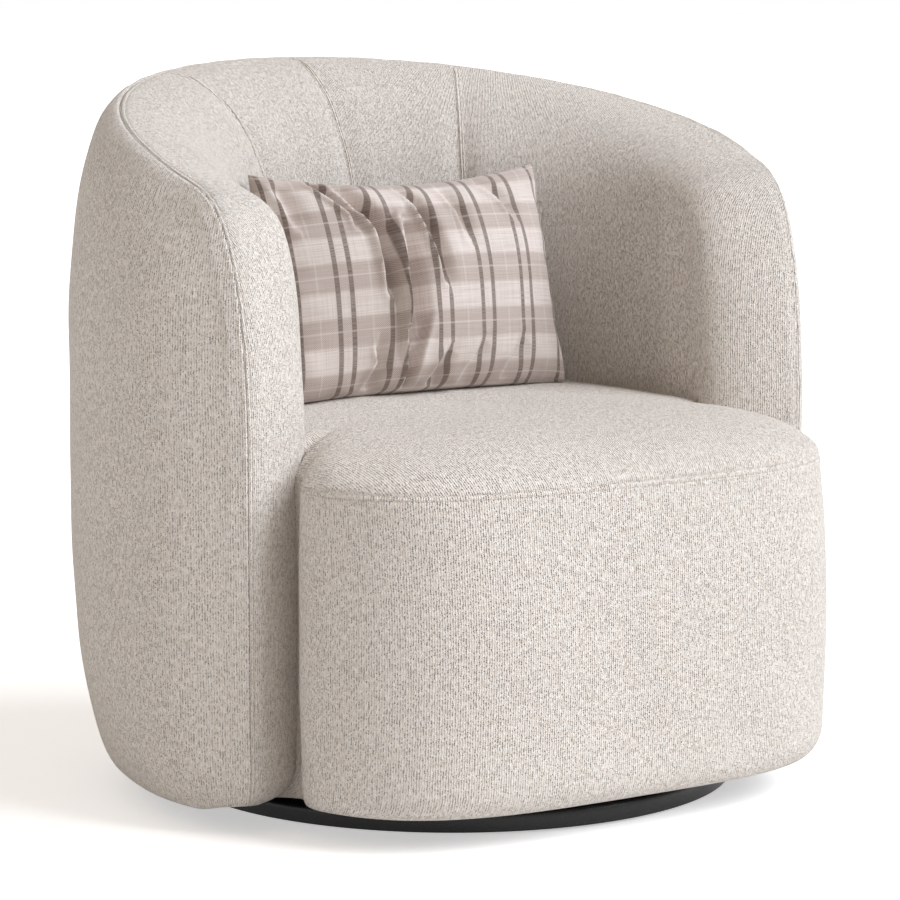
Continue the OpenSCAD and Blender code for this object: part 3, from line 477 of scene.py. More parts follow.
@dataclass(frozen=True)
class SlubWeave(WovenCloth):
    """Linen-look upholstery cloth, woven of thick and thin yarns.

    The eye sees fine upright ribs, a scatter of small pits where the yarns part, coloured darker as painted
    shade, a fuzzy grain, and a warm off-white that changes a little from yarn to yarn. The ribs are 2.5 mm
    apart and the pits sit on rows 1.9 mm apart, as the photograph shows.
    """

    warp_pitch: float = 2.5
    weft_pitch: float = 1.9
    # The colour of the painted shade in the pits
    pit_shade_colour: str = "#6a5f56"
    warm_colour: str = "#d4c8ba"
    warm_to_pale: Pair = (0.36, 0.6)
    # How far, in yarn pitches, the yarns wander, and how far each warp yarn's crossings are shifted
    wander: float = 0.9
    step: float = 0.38
    # Which crossings are open, by chance: none below the first value and fully at the second
    open_chance: Pair = (0.35, 1.05)
    relief: float = 1.5
    rib_share: float = 0.4
    slub_share: float = 0.3
    slub_stretch: Triple = (0.9, 0.3, 1.0)
    grain_stretch: Triple = (2.1, 1.6, 1.0)

    def pattern(self, add: AddNode) -> dict[str, Any]:
        """Lays ribs, pits and grain by the cloth map's own lengths.

        Args:
            add: Adds a node to the material.

        Returns:
            What the shader's inputs link to, by their names.
        """
        cloth = add("UVMap", {"uv_map": CLOTH_MAP})
        pace = (1.0 / (self.warp_pitch * MM), 1.0 / (self.weft_pitch * MM), 0.0)
        even = add("VectorMath", {"operation": "MULTIPLY", 1: pace}, {0: cloth})
        yarns = self.shifted_yarns(add, even)
        axes = add("SeparateXYZ", links={0: yarns})
        swells = []
        for axis in range(2):
            turn = add("Math", {"operation": "MULTIPLY", 1: math.pi}, {0: axes.outputs[axis]})
            wave = add("Math", {"operation": "SINE"}, {0: turn})
            swells.append(add("Math", {"operation": "ABSOLUTE"}, {0: wave}))
        pits = self.pits(add, yarns, swells)
        fuzz = []
        for stretch in (self.slub_stretch, self.grain_stretch):
            stretched = add("VectorMath", {"operation": "MULTIPLY", 1: stretch}, {0: even})
            fuzz.append(add("TexNoise", {"Scale": 1.0, "Detail": 2.0}, {"Vector": stretched}))
        slubs, grain = fuzz
        ribs = add("Math", {"operation": "MULTIPLY_ADD", 1: self.rib_share}, {0: swells[0], 2: grain})
        lumps = add("Math", {"operation": "MULTIPLY_ADD", 1: self.slub_share}, {0: slubs, 2: ribs})
        height = add("Math", {"operation": "SUBTRACT"}, {0: lumps, 1: pits})
        shade = add("Math", {"operation": "ADD"}, {0: slubs, 1: grain})
        shade = add("Math", {"operation": "MULTIPLY", 1: 0.5}, {0: shade})
        yarn = add("ValToRGB", links={0: shade})
        colour_steps(yarn, list(zip(self.warm_to_pale, (self.warm_colour, self.colour))))
        # Painted shade: the deeper the pit, the closer its colour comes to the pit's shade colour
        pit_shade = add("MapRange", {"From Min": 0.08, "From Max": 1.0}, {"Value": pits})
        tone = add("Mix", {"data_type": "RGBA", 7: linear(self.pit_shade_colour)}, {0: pit_shade, 6: yarn})
        bump = add("Bump", {"Strength": 1.0, "Distance": self.relief * MM}, {"Height": height})
        return {"Base Color": tone.outputs[2], "Normal": bump}

    def shifted_yarns(self, add: AddNode, even: Node) -> Node:
        """Lets the yarns wander, and shifts each warp yarn's crossings against its neighbour's.

        Args:
            add: Adds a node to the material.
            even: The place on the cloth, counted in yarns both ways.

        Returns:
            The node that gives the place counted along the real yarns.
        """
        drift = add("TexNoise", {"Scale": 0.45, "Detail": 2.0}, {"Vector": even})
        yarns = add("VectorMath", {"operation": "MULTIPLY_ADD", 1: (self.wander,) * 3},
                    {0: drift.outputs["Color"], 2: even})
        centred = add("VectorMath", {"operation": "ADD", 1: (0.5, 0.5, 0.5)}, {0: yarns})
        column = add("VectorMath", {"operation": "FLOOR"}, {0: centred})
        across = add("SeparateXYZ", links={0: column})
        lift = add("Math", {"operation": "MULTIPLY", 1: self.step}, {0: across})
        step = add("CombineXYZ", links={1: lift})
        return add("VectorMath", {"operation": "ADD"}, {0: yarns, 1: step})

    def pits(
        self, add: AddNode, yarns: Node, swells: Sequence[Node]
    ) -> Node:
        """Opens a pit, coloured darker as painted shade, at some of the crossings, between two warp yarns.

        Args:
            add: Adds a node to the material.
            yarns: The place on the cloth, counted along the yarns.
            swells: How thick the warp and the weft lie there.

        Returns:
            The node that gives each place's depth in a pit, from 0 to 1.
        """
        centred = add("VectorMath", {"operation": "ADD", 1: (0.5, 0.0, 0.0)}, {0: yarns})
        crossing = add("VectorMath", {"operation": "FLOOR"}, {0: centred})
        chance = add("TexWhiteNoise", {"noise_dimensions": "3D"}, {"Vector": crossing})
        least, most = self.open_chance
        open_share = add("MapRange", {"From Min": least, "From Max": most},
                         {"Value": chance.outputs["Value"]})
        between = add("MapRange", {"From Min": 0.85, "From Max": 0.1}, {"Value": swells[0]})
        spot = add("Math", {"operation": "MULTIPLY"}, {0: between, 1: swells[1]})
        return add("Math", {"operation": "MULTIPLY"}, {0: spot, 1: open_share})


@dataclass(frozen=True)
class Stripe:
    """A stripe of a plaid, with sizes in millimetres."""

    axis: int
    centre: float
    width: float
    soft: float
    colour: str
    strength: float


@dataclass(frozen=True)
class PlaidTwill(WovenCloth):
    """Brushed cotton and wool twill, woven as a plaid.

    Narrow taupe lines run up the cloth in pairs, broad darker bands with a pale hairline run across
    it, and the twill shows as fine slanted lines. The plaid repeats every 57 mm. The twill is drawn
    2 mm apart, coarser than the real 1 mm, so that it shows.
    """

    line_colour: str = "#5c4c42"
    band_colour: str = "#8f7c72"
    streak_colour: str = "#bfb2ab"
    pale_colour: str = "#dcd3ce"
    repeat: float = 57.0
    pair_gap: float = 15.0
    line_width: float = 4.4
    band_width: float = 26.0
    hair_width: float = 1.3
    twill_pitch: float = 2.0
    relief: float = 0.3

    def stripes(self) -> list[Stripe]:
        """Lists the narrow stripes.

        Returns:
            Two lines and a hairline up the cloth, and a hairline across it.
        """
        pair = [Stripe(0, side * self.pair_gap / 2.0, self.line_width, 0.8, self.line_colour, 0.85)
                for side in (-1.0, 1.0)]
        upright = Stripe(0, self.repeat / 2.0, self.hair_width, 0.6, self.pale_colour, 0.35)
        level = Stripe(1, 1.0, self.hair_width, 0.6, self.pale_colour, 0.4)
        return pair + [upright, level]

    def draw(self, add: AddNode, axes: Node, stripe: Stripe) -> Node:
        """Draws a stripe that repeats with the plaid.

        Args:
            add: Adds a node to the material.
            axes: The node that gives the lengths along and up the cloth, in metres.
            stripe: The stripe.

        Returns:
            A node whose output is 1 on the stripe and 0 off it.
        """
        half, edge = self.repeat / 2.0, stripe.width / 2.0
        shifted = add("Math", {"operation": "ADD", 1: (half - stripe.centre) * MM},
                      {0: axes.outputs[stripe.axis]})
        local = add("Math", {"operation": "FLOORED_MODULO", 1: self.repeat * MM}, {0: shifted})
        off = add("Math", {"operation": "SUBTRACT", 1: half * MM}, {0: local})
        away = add("Math", {"operation": "ABSOLUTE"}, {0: off})
        return add("MapRange", {"From Min": (edge + stripe.soft) * MM, "From Max": edge * MM},
                   {"Value": away})

    def pattern(self, add: AddNode) -> dict[str, Any]:
        """Lays the bands, the stripes, the yarn streaks and the twill over each other.

        Args:
            add: Adds a node to the material.

        Returns:
            What the shader's inputs link to, by their names.
        """
        cloth = add("UVMap", {"uv_map": CLOTH_MAP})
        axes = add("SeparateXYZ", links={0: cloth})
        streaks = []
        for scale in ((16.0, 700.0, 0.0), (900.0, 20.0, 0.0)):
            stretched = add("VectorMath", {"operation": "MULTIPLY", 1: scale}, {0: cloth})
            streaks.append(add("TexNoise", {"Scale": 1.0, "Detail": 3.0}, {"Vector": stretched}))
        cross = add("Math", {"operation": "MULTIPLY_ADD", 1: 0.55}, {0: streaks[1], 2: streaks[0]})
        ground = add("ValToRGB", links={0: cross})
        colour_steps(ground, [(0.5, self.streak_colour), (0.76, self.colour), (1.0, self.pale_colour)])
        slant = add("Math", {"operation": "ADD"}, {0: axes.outputs[0], 1: axes.outputs[1]})
        turns = 2.0 * math.pi / (self.twill_pitch * MM)
        paced = add("Math", {"operation": "MULTIPLY", 1: turns}, {0: slant})
        twill = add("Math", {"operation": "SINE"}, {0: paced})
        hatch = add("MapRange", {"From Min": -1.0, "From Max": 1.0, "To Min": 0.2, "To Max": 0.72},
                    {"Value": twill})
        band = self.draw(add, axes, Stripe(1, 0.0, self.band_width, 4.0, self.band_colour, 1.0))
        hatched = add("Math", {"operation": "MULTIPLY"}, {0: band, 1: hatch})
        tone = add("Mix", {"data_type": "RGBA", 7: linear(self.band_colour)},
                   {0: hatched, 6: ground}).outputs[2]
        for stripe in self.stripes():
            drawn = self.draw(add, axes, stripe)
            wear = {"From Min": 0.3, "From Max": 0.62, "To Min": 0.55 * stripe.strength,
                    "To Max": stripe.strength}
            worn = add("MapRange", wear, {"Value": streaks[0]})
            share = add("Math", {"operation": "MULTIPLY"}, {0: drawn, 1: worn})
            tone = add("Mix", {"data_type": "RGBA", 7: linear(stripe.colour)},
                       {0: share, 6: tone}).outputs[2]
        rise = add("Math", {"operation": "MULTIPLY_ADD", 1: 0.25}, {0: twill, 2: cross})
        bump = add("Bump", {"Strength": 0.5, "Distance": self.relief * MM}, {"Height": rise})
        return {"Base Color": tone, "Normal": bump}


@dataclass(frozen=True)
class Thread(Finish):
    """Twisted polyester sewing thread, which shows its slanted ply and a slight gloss.

    The ply is drawn 3.1 mm apart, coarser than the real 0.5 mm, so that it shows.
    """

    ply_pitch: float = 3.14
    # Blender's wave turns by this many radians for each unit of its scale
    wave_turn: float = 20.0

    def pattern(self, add: AddNode) -> dict[str, Any]:
        """Twists the ply across the thread.

        Args:
            add: Adds a node to the material.

        Returns:
            What the shader's inputs link to, by their names.
        """
        where = add("TexCoord").outputs["Object"]
        scale = 2.0 * math.pi / (self.wave_turn * self.ply_pitch * MM)
        ply = add("TexWave", {"Scale": scale, "Distortion": 2.0}, {"Vector": where})
        bump = add("Bump", {"Strength": 0.4, "Distance": 0.1 * MM}, {"Height": ply.outputs["Fac"]})
        return {"Normal": bump}


@dataclass(frozen=True)
class SpunCoat(Finish):
    """Powder coat on spun steel: satin black, with the faint rings that the spinning tool leaves."""

    ring_pitch: float = 2.4
    grit: float = 0.7143
    gloss: float = 0.35

    def plain_values(self) -> dict[str, Any]:
        """Adds the coat's weaker reflection to the plain values."""
        return super().plain_values() | {"Specular IOR Level": self.gloss}

    def pattern(self, add: AddNode) -> dict[str, Any]:
        """Draws the rings round the axis and the coat's fine grain.

        Args:
            add: Adds a node to the material.

        Returns:
            What the shader's inputs link to, by their names.
        """
        where = add("TexCoord").outputs["Object"]
        flat = add("VectorMath", {"operation": "MULTIPLY", 1: (1.0, 1.0, 0.0)}, {0: where})
        away = add("VectorMath", {"operation": "LENGTH"}, {0: flat})
        turns = 2.0 * math.pi / (self.ring_pitch * MM)
        paced = add("Math", {"operation": "MULTIPLY", 1: turns}, {0: away.outputs["Value"]})
        rings = add("Math", {"operation": "SINE"}, {0: paced})
        grain = add("TexNoise", {"Scale": 1.0 / (self.grit * MM), "Detail": 2.0}, {"Vector": where})
        rise = add("Math", {"operation": "MULTIPLY_ADD", 1: 0.4}, {0: rings, 2: grain})
        bump = add("Bump", {"Strength": 0.12, "Distance": 0.1 * MM}, {"Height": rise})
        worn = add("MapRange", {"To Min": self.roughness - 0.06, "To Max": self.roughness + 0.08},
                   {"Value": grain})
        return {"Normal": bump, "Roughness": worn}


@dataclass(frozen=True)
class Grained(Finish):
    """A finish whose colour wanders between two tones in a stretched grain, such as wood or plating."""

    second_colour: str = "#808080"
    # The grain's size along x, y and z in millimetres
    grain: Triple = (5.0, 5.0, 5.0)
    relief: float = 0.1

    def pattern(self, add: AddNode) -> dict[str, Any]:
        """Stretches noise along the grain, for the colour and a fine relief.

        Args:
            add: Adds a node to the material.

        Returns:
            What the shader's inputs link to, by their names.
        """
        where = add("TexCoord").outputs["Object"]
        pace = tuple(1.0 / (size * MM) for size in self.grain)
        stretched = add("VectorMath", {"operation": "MULTIPLY", 1: pace}, {0: where})
        noise = add("TexNoise", {"Scale": 1.0, "Detail": 4.0, "Roughness": 0.6}, {"Vector": stretched})
        tone = add("ValToRGB", links={0: noise})
        colour_steps(tone, [(0.35, self.second_colour), (0.65, self.colour)])
        bump = add("Bump", {"Strength": 0.3, "Distance": self.relief * MM}, {"Height": noise})
        return {"Base Color": tone, "Normal": bump}


@dataclass(frozen=True)
class Strapping(Finish):
    """Elastic jute and rubber webbing or spun-bonded cloth: a fine square mesh of ribs."""

    pitch: float = 2.0
    second_colour: str = "#3a3a3c"

    def pattern(self, add: AddNode) -> dict[str, Any]:
        """Draws ribs both ways in the level plane.

        Args:
            add: Adds a node to the material.

        Returns:
            What the shader's inputs link to, by their names.
        """
        where = add("TexCoord").outputs["Object"]
        axes = add("SeparateXYZ", links={0: where})
        turns = math.pi / (self.pitch * MM)
        ribs = []
        for axis in range(2):
            paced = add("Math", {"operation": "MULTIPLY", 1: turns}, {0: axes.outputs[axis]})
            wave = add("Math", {"operation": "SINE"}, {0: paced})
            ribs.append(add("Math", {"operation": "ABSOLUTE"}, {0: wave}))
        rise = add("Math", {"operation": "MULTIPLY"}, {0: ribs[0], 1: ribs[1]})
        two_tones = {"data_type": "RGBA", 6: linear(self.colour), 7: linear(self.second_colour)}
        tone = add("Mix", two_tones, {0: rise})
        bump = add("Bump", {"Strength": 0.6, "Distance": 0.4 * MM}, {"Height": rise})
        return {"Base Color": tone.outputs[2], "Normal": bump}


# The plywood's grain is long along x and fine through its thickness
PLY_GRAIN = (83.3, 6.25, 2.38)
# The deck's underside and edge are coloured black as painted shade, so that the gaps above the base read as
# dark as their shade
GAP_SHADE_DECK = Grained("black_plywood_gap_shade", "#1c1a19", 0.7, 0.0, "#121110", PLY_GRAIN, 0.15)
LINEN = SlubWeave("linen_slub_weave", "#f9f4ef", 0.92)
PLAID = PlaidTwill("plaid_brushed_twill", "#d2c7c1", 0.85, sheen=0.3, sheen_roughness=0.4)
THREAD = Thread("polyester_topstitch_thread", "#bfb2a5", 0.55)
CAD_FINISHES = {
    # Powder coat reads as a deep black with a broad soft highlight
    Slot.BLACK_STEEL: SpunCoat("spun_steel_satin_black_coat", "#0b0a0a", 0.27),
    # Pressed wood fibre, matt and speckled
    Slot.FIBREBOARD: Grained("pressed_fibreboard", "#8a6a48", 0.85, 0.0, "#6d5136", (1.11,) * 3, 0.1),
    # Moulded rubber, matt with a bloom
    Slot.RUBBER: Grained("moulded_rubber", "#1b1b1c", 0.8, 0.0, "#262627", (3.33,) * 3, 0.05),
    # Zinc plate shows a faint cloudy spangle
    Slot.ZINC_STEEL: Grained("zinc_plated_steel", "#b9bcc0", 0.35, 1.0, "#9a9da3", (6.25,) * 3, 0.02),
    # Moulded nylon, nearly matt
    Slot.NYLON: Grained("moulded_nylon", "#232325", 0.55, 0.0, "#2c2c2e", (2.0,) * 3, 0.05),
    # Polished bearing steel, a clear mirror with a hint of cloud
    Slot.BEARING_STEEL: Grained("polished_bearing_steel", "#cfd1d4", 0.12, 1.0, "#c4c6ca", (11.1,) * 3, 0.01),
    # Birch plywood, pale with its grain along the length
    Slot.PLYWOOD: Grained("birch_plywood", "#d0ab7a", 0.6, 0.0, "#b58a58", PLY_GRAIN, 0.15),
    # Spun-bonded polypropylene under the chair, a dull black mesh
    Slot.DUST_CLOTH: Strapping("spun_bonded_dust_cloth", "#141415", 0.9, 0.0, 1.6, "#222224"),
    # Elastic seat webbing, dull with fine ribs
    Slot.WEBBING: Strapping("elastic_webbing", "#26262a", 0.85, 0.0, 2.5, "#48484c"),
}


# The wall


@dataclass
class WallShape:
    """The padded wall's shape.

    In its own measures, s runs along its outside from the middle of the back, with the left half
    below 0, w runs outward from the plan's line, z up, and d is the distance from the rim.
    """

    # The plan: a half ellipse for the back and one for the arms, and how far the wall runs each way
    plan_rx: float = 412.0
    back_ry: float = 404.0
    front_ry: float = 572.0
    plan_forward: float = 34.0
    wall_half: float = 774.0
    # The section
    back_t: float = 205.0
    arm_t: float = 160.0
    back_h: float = 735.0
    arm_drop: float = 127.0
    foot: float = 24.0
    inner_foot: float = 52.4
    back_lean: float = 18.0
    lean_from: float = 400.0
    # The rim's rounded front corner
    corner_w: float = 89.0
    corner_h: float = 231.0
    corner_power: float = 3.0
    # How the faces roll over to the rim, and the outer one in under the wall
    rim_depth: float = 61.0
    outer_roll: float = 258.0
    back_roll: float = 210.0
    arm_roll: float = 45.0
    hem_tuck: float = 50.0
    hem_roll: float = 240.0
    # The channels
    channel_s: float = 229.0
    channel_pull: float = 9.0
    # The arm's front: its rounded foot, and the squarer padding beside its seam
    front_foot_w: float = 12.0
    front_rounding: float = 50.0
    front_reach: float = 80.0
    front_draw_back: float = 18.0
    front_lift: float = 9.0
    front_foot_power: float = 2.8
    front_flat_reach: float = 110.0
    front_flat_power: float = 1.6
    squarer_from: float = 600.0
    squarer_over: float = 110.0
    turns: Array = field(init=False)
    lengths: Array = field(init=False)
    rim: Array = field(init=False)

    def __post_init__(self) -> None:
        """Tabulates the plan's length and the rim's line."""
        self.turns = np.linspace(0.0, 180.0, 721)
        self.lengths = lengths_along(self.plan_at(self.turns))
        self.rim = self.rim_line(0.0)

    @property
    def corner_s(self) -> float:
        """Where the rounded front corner starts."""
        return self.wall_half - self.corner_w

    def plan_at(self, turn: Array) -> Array:
        """Finds points of the plan.

        Args:
            turn: Angles in degrees from the middle of the back.

        Returns:
            The level points.
        """
        angle = np.radians(turn)
        depth = np.where(np.abs(turn) < 90.0, self.back_ry, self.front_ry)
        return np.stack([self.plan_rx * np.sin(angle), depth * np.cos(angle) - self.plan_forward], axis=-1)

    def plan_out(self, turn: Array) -> Array:
        """Finds the plan's normals.

        Args:
            turn: Angles in degrees from the middle of the back.

        Returns:
            The unit normals, which point out of the chair.
        """
        angle = np.radians(turn)
        depth = np.where(np.abs(turn) < 90.0, self.back_ry, self.front_ry)
        return unit(np.stack([np.sin(angle) / self.plan_rx, np.cos(angle) / depth], axis=-1))

    def turn_at(self, s: Array) -> Array:
        """Returns the plan's angle at s."""
        return side_of(s) * np.interp(np.abs(s), self.lengths, self.turns)

    def plan_point(self, s: Array, w: Array) -> Array:
        """Returns the level point that lies w outward from the plan's line at s."""
        turn = self.turn_at(s)
        return self.plan_at(turn) + np.asarray(w)[..., None] * self.plan_out(turn)

    def point(self, s: Array, w: Array, z: Array) -> Array:
        """Finds points of the wall, with the back's lean and the arm front's rounded foot.

        Args:
            s: Lengths along the wall.
            w: How far outward they lie.
            z: Heights.

        Returns:
            The points.
        """
        near_foot = 1.0 - roll((z - self.foot) / self.front_rounding)
        rounded = near_foot * ease((np.abs(s) - self.wall_half + self.front_reach) / self.front_reach)
        flat = self.plan_point(s - side_of(s) * self.front_draw_back * rounded, w)
        lean = self.back_lean * np.maximum(0.0, (z - self.lean_from) / (self.back_h - self.lean_from))
        return np.stack([flat[..., 0], flat[..., 1] + lean, z + self.front_lift * rounded], axis=-1)

    def arm_share(self, s: Array) -> Array:
        """Returns how much of the arm's section has taken over from the back's."""
        return ease(np.abs(s) / self.wall_half)

    def thickness(self, s: Array) -> Array:
        """Returns the wall's thickness at s."""
        return mix(self.back_t, self.arm_t, self.arm_share(s))

    def inner_roll(self, s: Array) -> Array:
        """Returns the height over which the inner face rolls out to the rim."""
        return mix(self.back_roll, self.arm_roll, self.arm_share(s))

    def rim_h(self, s: Array) -> Array:
        """Returns the rim's height, before the corner's rounding."""
        return self.back_h - self.arm_drop * (s / self.wall_half) ** 2

    def corner(self, turn: Array, edge: float) -> Array:
        """Finds points of the rim's rounded corner.

        Args:
            turn: Angles in degrees from its upper end.
            edge: How far inside the rim they lie.

        Returns:
            The points, as [s, z].
        """
        angle = np.radians(turn)
        across = np.abs(np.sin(angle)) ** (2.0 / self.corner_power)
        down = np.abs(np.cos(angle)) ** (2.0 / self.corner_power)
        s = self.corner_s + (self.corner_w - edge) * across
        z = self.rim_h(s) - edge - (self.corner_h - edge) * (1.0 - down)
        return np.stack([s, z], axis=-1)

    def rim_at(self, place: Array, edge: float) -> Array:
        """Finds points of the rim.

        Args:
            place: s up to the corner, and past it 1 for each degree round it.
            edge: How far inside the rim they lie.

        Returns:
            The points, as [s, z].
        """
        straight = np.minimum(place, self.corner_s)
        top = np.stack([straight, self.rim_h(straight) - edge], axis=-1)
        rounded = self.corner(np.clip(place - self.corner_s, 0.0, 90.0), edge)
        return np.where((place > self.corner_s)[..., None], rounded, top)

    def rim_line(self, edge: float) -> Array:
        """Lays the rim of one half as a line.

        Args:
            edge: How far inside the rim it lies.

        Returns:
            Its points as [s, z], the last of them below the floor.
        """
        even_turns = np.linspace(0.0, 80.0, 81)[1:]
        closer_turns = 90.0 - 10.0 * np.linspace(1.0, 0.0, 41)[1:] ** 2
        places = np.concatenate([np.linspace(0.0, self.corner_s, 60), self.corner_s + even_turns,
                                 self.corner_s + closer_turns])
        end = np.array([[self.wall_half - edge, -self.back_h]])
        return np.concatenate([self.rim_at(places, edge), end])

    def nearest(self, s: Array, z: Array, line: Array) -> tuple[Array, Array]:
        """Measures how far points lie from the rim.

        Args:
            s: The points' lengths along the wall, of one half.
            z: The points' heights.
            line: The rim's line.

        Returns:
            The distances, and the unit direction from each point to the rim as [s, z].
        """
        on_the_rim = 1e-9
        points = np.stack([s.ravel(), z.ravel()], axis=-1)
        best = np.full(len(points), np.inf)
        towards = np.zeros((len(points), 2))
        for a, b in zip(line[:-1], line[1:]):
            ab = b - a
            share = limit(((points - a) @ ab) / (ab @ ab))
            gap = a + share[:, None] * ab - points
            far = np.linalg.norm(gap, axis=1)
            closer = far < best
            best[closer] = far[closer]
            towards[closer] = gap[closer]
        direction = towards / np.maximum(best, on_the_rim)[:, None]
        return best.reshape(s.shape), direction.reshape(s.shape + (2,))

    def softened(self, s: Array, z: Array, exact: Array, line: Array) -> Array:
        """Rounds the crease that the plain distance has where two stretches of the rim are as near.

        It adds up an inverse power of the distances to all of the rim, which falls off smoothly.

        Args:
            s: The points' lengths along the wall, of one half.
            z: The points' heights.
            exact: Their distances from the rim.
            line: The rim's line.

        Returns:
            The distances, unchanged near the rim.
        """
        power = 6.0
        other_half_to, spacing, least_gap, batch = 500.0, 8.0, 5.0, 40
        starts_at, over = 20.0, 60.0
        mirrored = line[(line[:, 0] > 0.0) & (line[:, 0] < other_half_to)][::-1] * MIRROR
        full = np.concatenate([mirrored, line])
        parts = np.diff(full, axis=0)
        counts = np.maximum(1, (np.linalg.norm(parts, axis=1) / spacing).astype(int))
        samples, weights = [], []
        for start, part, count in zip(full[:-1], parts, counts):
            samples.append(start + part * ((np.arange(count) + 0.5) / count)[:, None])
            weights.append(np.full(count, np.linalg.norm(part) / count))
        at, weight = np.concatenate(samples), np.concatenate(weights)
        points = np.stack([s.ravel(), z.ravel()], axis=-1)
        total = np.zeros(len(points))
        for first in range(0, len(at), batch):
            gap = points[:, None, :] - at[None, first : first + batch]
            squared = np.maximum((gap**2).sum(-1), least_gap**2)
            total += (weight[first : first + batch] / squared ** (power / 2.0)).sum(1)
        # An endless straight rim adds up to 3 pi / 8 of the nearest distance to the power of -5
        soft = (total * 8.0 / (3.0 * math.pi)) ** (-1.0 / (power - 1.0))
        return mix(exact, soft.reshape(s.shape), ease((exact - starts_at) / over))

    def drawn_in(self, swell: Any, up: Any) -> Any:
        """Returns how far the outer face lies inside the plan's line.

        Args:
            swell: How far the rim's rounding alone draws it in.
            up: The height above the wall's foot, which tucks in.
        """
        tuck = self.hem_tuck * (1.0 - roll(up / self.hem_roll))
        return np.cbrt(swell**3 + tuck**3)

    def face_w(self, side: Side, s: Array, up: Array, d: Array, deep: float) -> Array:
        """Works out how far outward a face lies.

        Args:
            side: Which face.
            s: Lengths along the wall.
            up: Heights above the face's foot.
            d: Distances from the rim.
            deep: How far the layer lies below the surface.

        Returns:
            The places outward from the plan's line.
        """
        if side is Side.OUTER:
            share = limit(d / (self.outer_roll - deep))
            flat = self.front_share(s) * (1.0 - ease(d / self.front_flat_reach))
            swell = mix(1.0 - roll(share), (1.0 - share) ** self.front_flat_power, flat)
            return -deep - self.drawn_in((self.rim_depth - deep) * swell, up)
        front = self.drawn_in(self.rim_depth, up)
        at_front = ease((np.abs(s) - self.wall_half + self.front_rounding) / (0.6 * self.front_rounding))
        foot_share = mix(1.0, self.front_foot(up), at_front)
        reach = np.maximum(2.0, self.inner_roll(s) - deep)
        near = np.minimum(np.abs(s), np.abs(np.abs(s) - self.channel_s))
        dip = self.channel_pull * bump_at(near, 3.0 * self.channel_pull) * roll(d / self.back_roll)
        return -front - (self.thickness(s) - deep - front) * roll(d / reach) * foot_share + dip

    def front_foot(self, up: Any) -> Any:
        """Returns the share of its width that the arm's front keeps at this height above its foot."""
        power = self.front_foot_power
        return (1.0 - (1.0 - limit(up / self.front_rounding)) ** power) ** (1.0 / power)

    def front_share(self, s: Any) -> Any:
        """Returns how much of the arm front's squarer seam has taken over from the rolled rim at s."""
        return ease((np.abs(s) - self.squarer_from) / self.squarer_over)

    def rim_out(self, s: Array, z: Array) -> Array:
        """Returns the unit direction out of the wall at the rim that is nearest to s and z.

        Both faces use it beside their shared seam, so that they stay joined there. It is the slope of
        a rounded step: forward round the corner, upward along the top.

        Args:
            s: Lengths along the wall, of either half.
            z: Heights.
        """
        at_edge, upright_below, level_top = 0.5, 150.0, 1e-6
        sign, length = side_of(s), np.abs(s)
        across = limit((length - self.corner_s) / self.corner_w) ** 2 / self.corner_w
        top = self.rim_h(length)
        up = limit((z - top + self.corner_h) / self.corner_h) ** 2 / self.corner_h + level_top
        upright = (length > self.wall_half - at_edge) & (z <= top - upright_below)
        up = np.where(upright, 0.0, up)
        along = across + up * 2.0 * self.arm_drop * length / self.wall_half**2
        size = np.hypot(along, up)
        out = self.plan_out(self.turn_at(s))
        ahead = np.stack([out[..., 1], -out[..., 0]], axis=-1) * sign[..., None]
        level = ahead * (along / size)[..., None] + out * self.front_share(s)[..., None]
        return unit(np.concatenate([level, (up / size)[..., None]], axis=-1))

    def foot_at(self, side: Side, s: Array) -> Array:
        """Returns the height of a face's lower edge at s."""
        inside = np.where(np.abs(s) > self.wall_half - self.front_foot_w, self.foot, self.inner_foot)
        return np.where(side is Side.OUTER, self.foot, inside)

    def extra_cloth(self, side: Side, s: Array, d: Array) -> Array:
        """Measures how much longer the rolled surface is than its distance to the rim.

        Args:
            side: Which face.
            s: Lengths along the wall.
            d: Distances from the rim.

        Returns:
            The extra lengths.
        """
        across = self.rim_depth if side is Side.OUTER else self.thickness(s) - self.rim_depth
        reach = self.outer_roll if side is Side.OUTER else self.inner_roll(s)
        angle = np.arccos(1.0 - limit(d / reach))
        samples = 24
        turned = mix(angle[..., None], math.pi / 2.0, (np.arange(samples) + 0.5) / samples)
        wide, high = np.asarray(across)[..., None], np.asarray(reach)[..., None]
        pace = np.hypot(wide * np.cos(turned), high * np.sin(turned))
        arc = pace.mean(-1) * (math.pi / 2.0 - angle)
        rolled = 1.0 - self.front_share(s) if side is Side.OUTER else 1.0
        return (arc - np.maximum(0.0, reach - d)) * rolled


# How far outward each face is moved, so that the inner cover lies clear of the CAD's foam
FACE_SHIFT = {Side.OUTER: 0.0, Side.INNER: -0.4}
# How far outward each pad's hidden back is moved, so that it lies clear of the frame's liner
BACK_SHIFT = {Side.OUTER: 0.2, Side.INNER: -0.6}


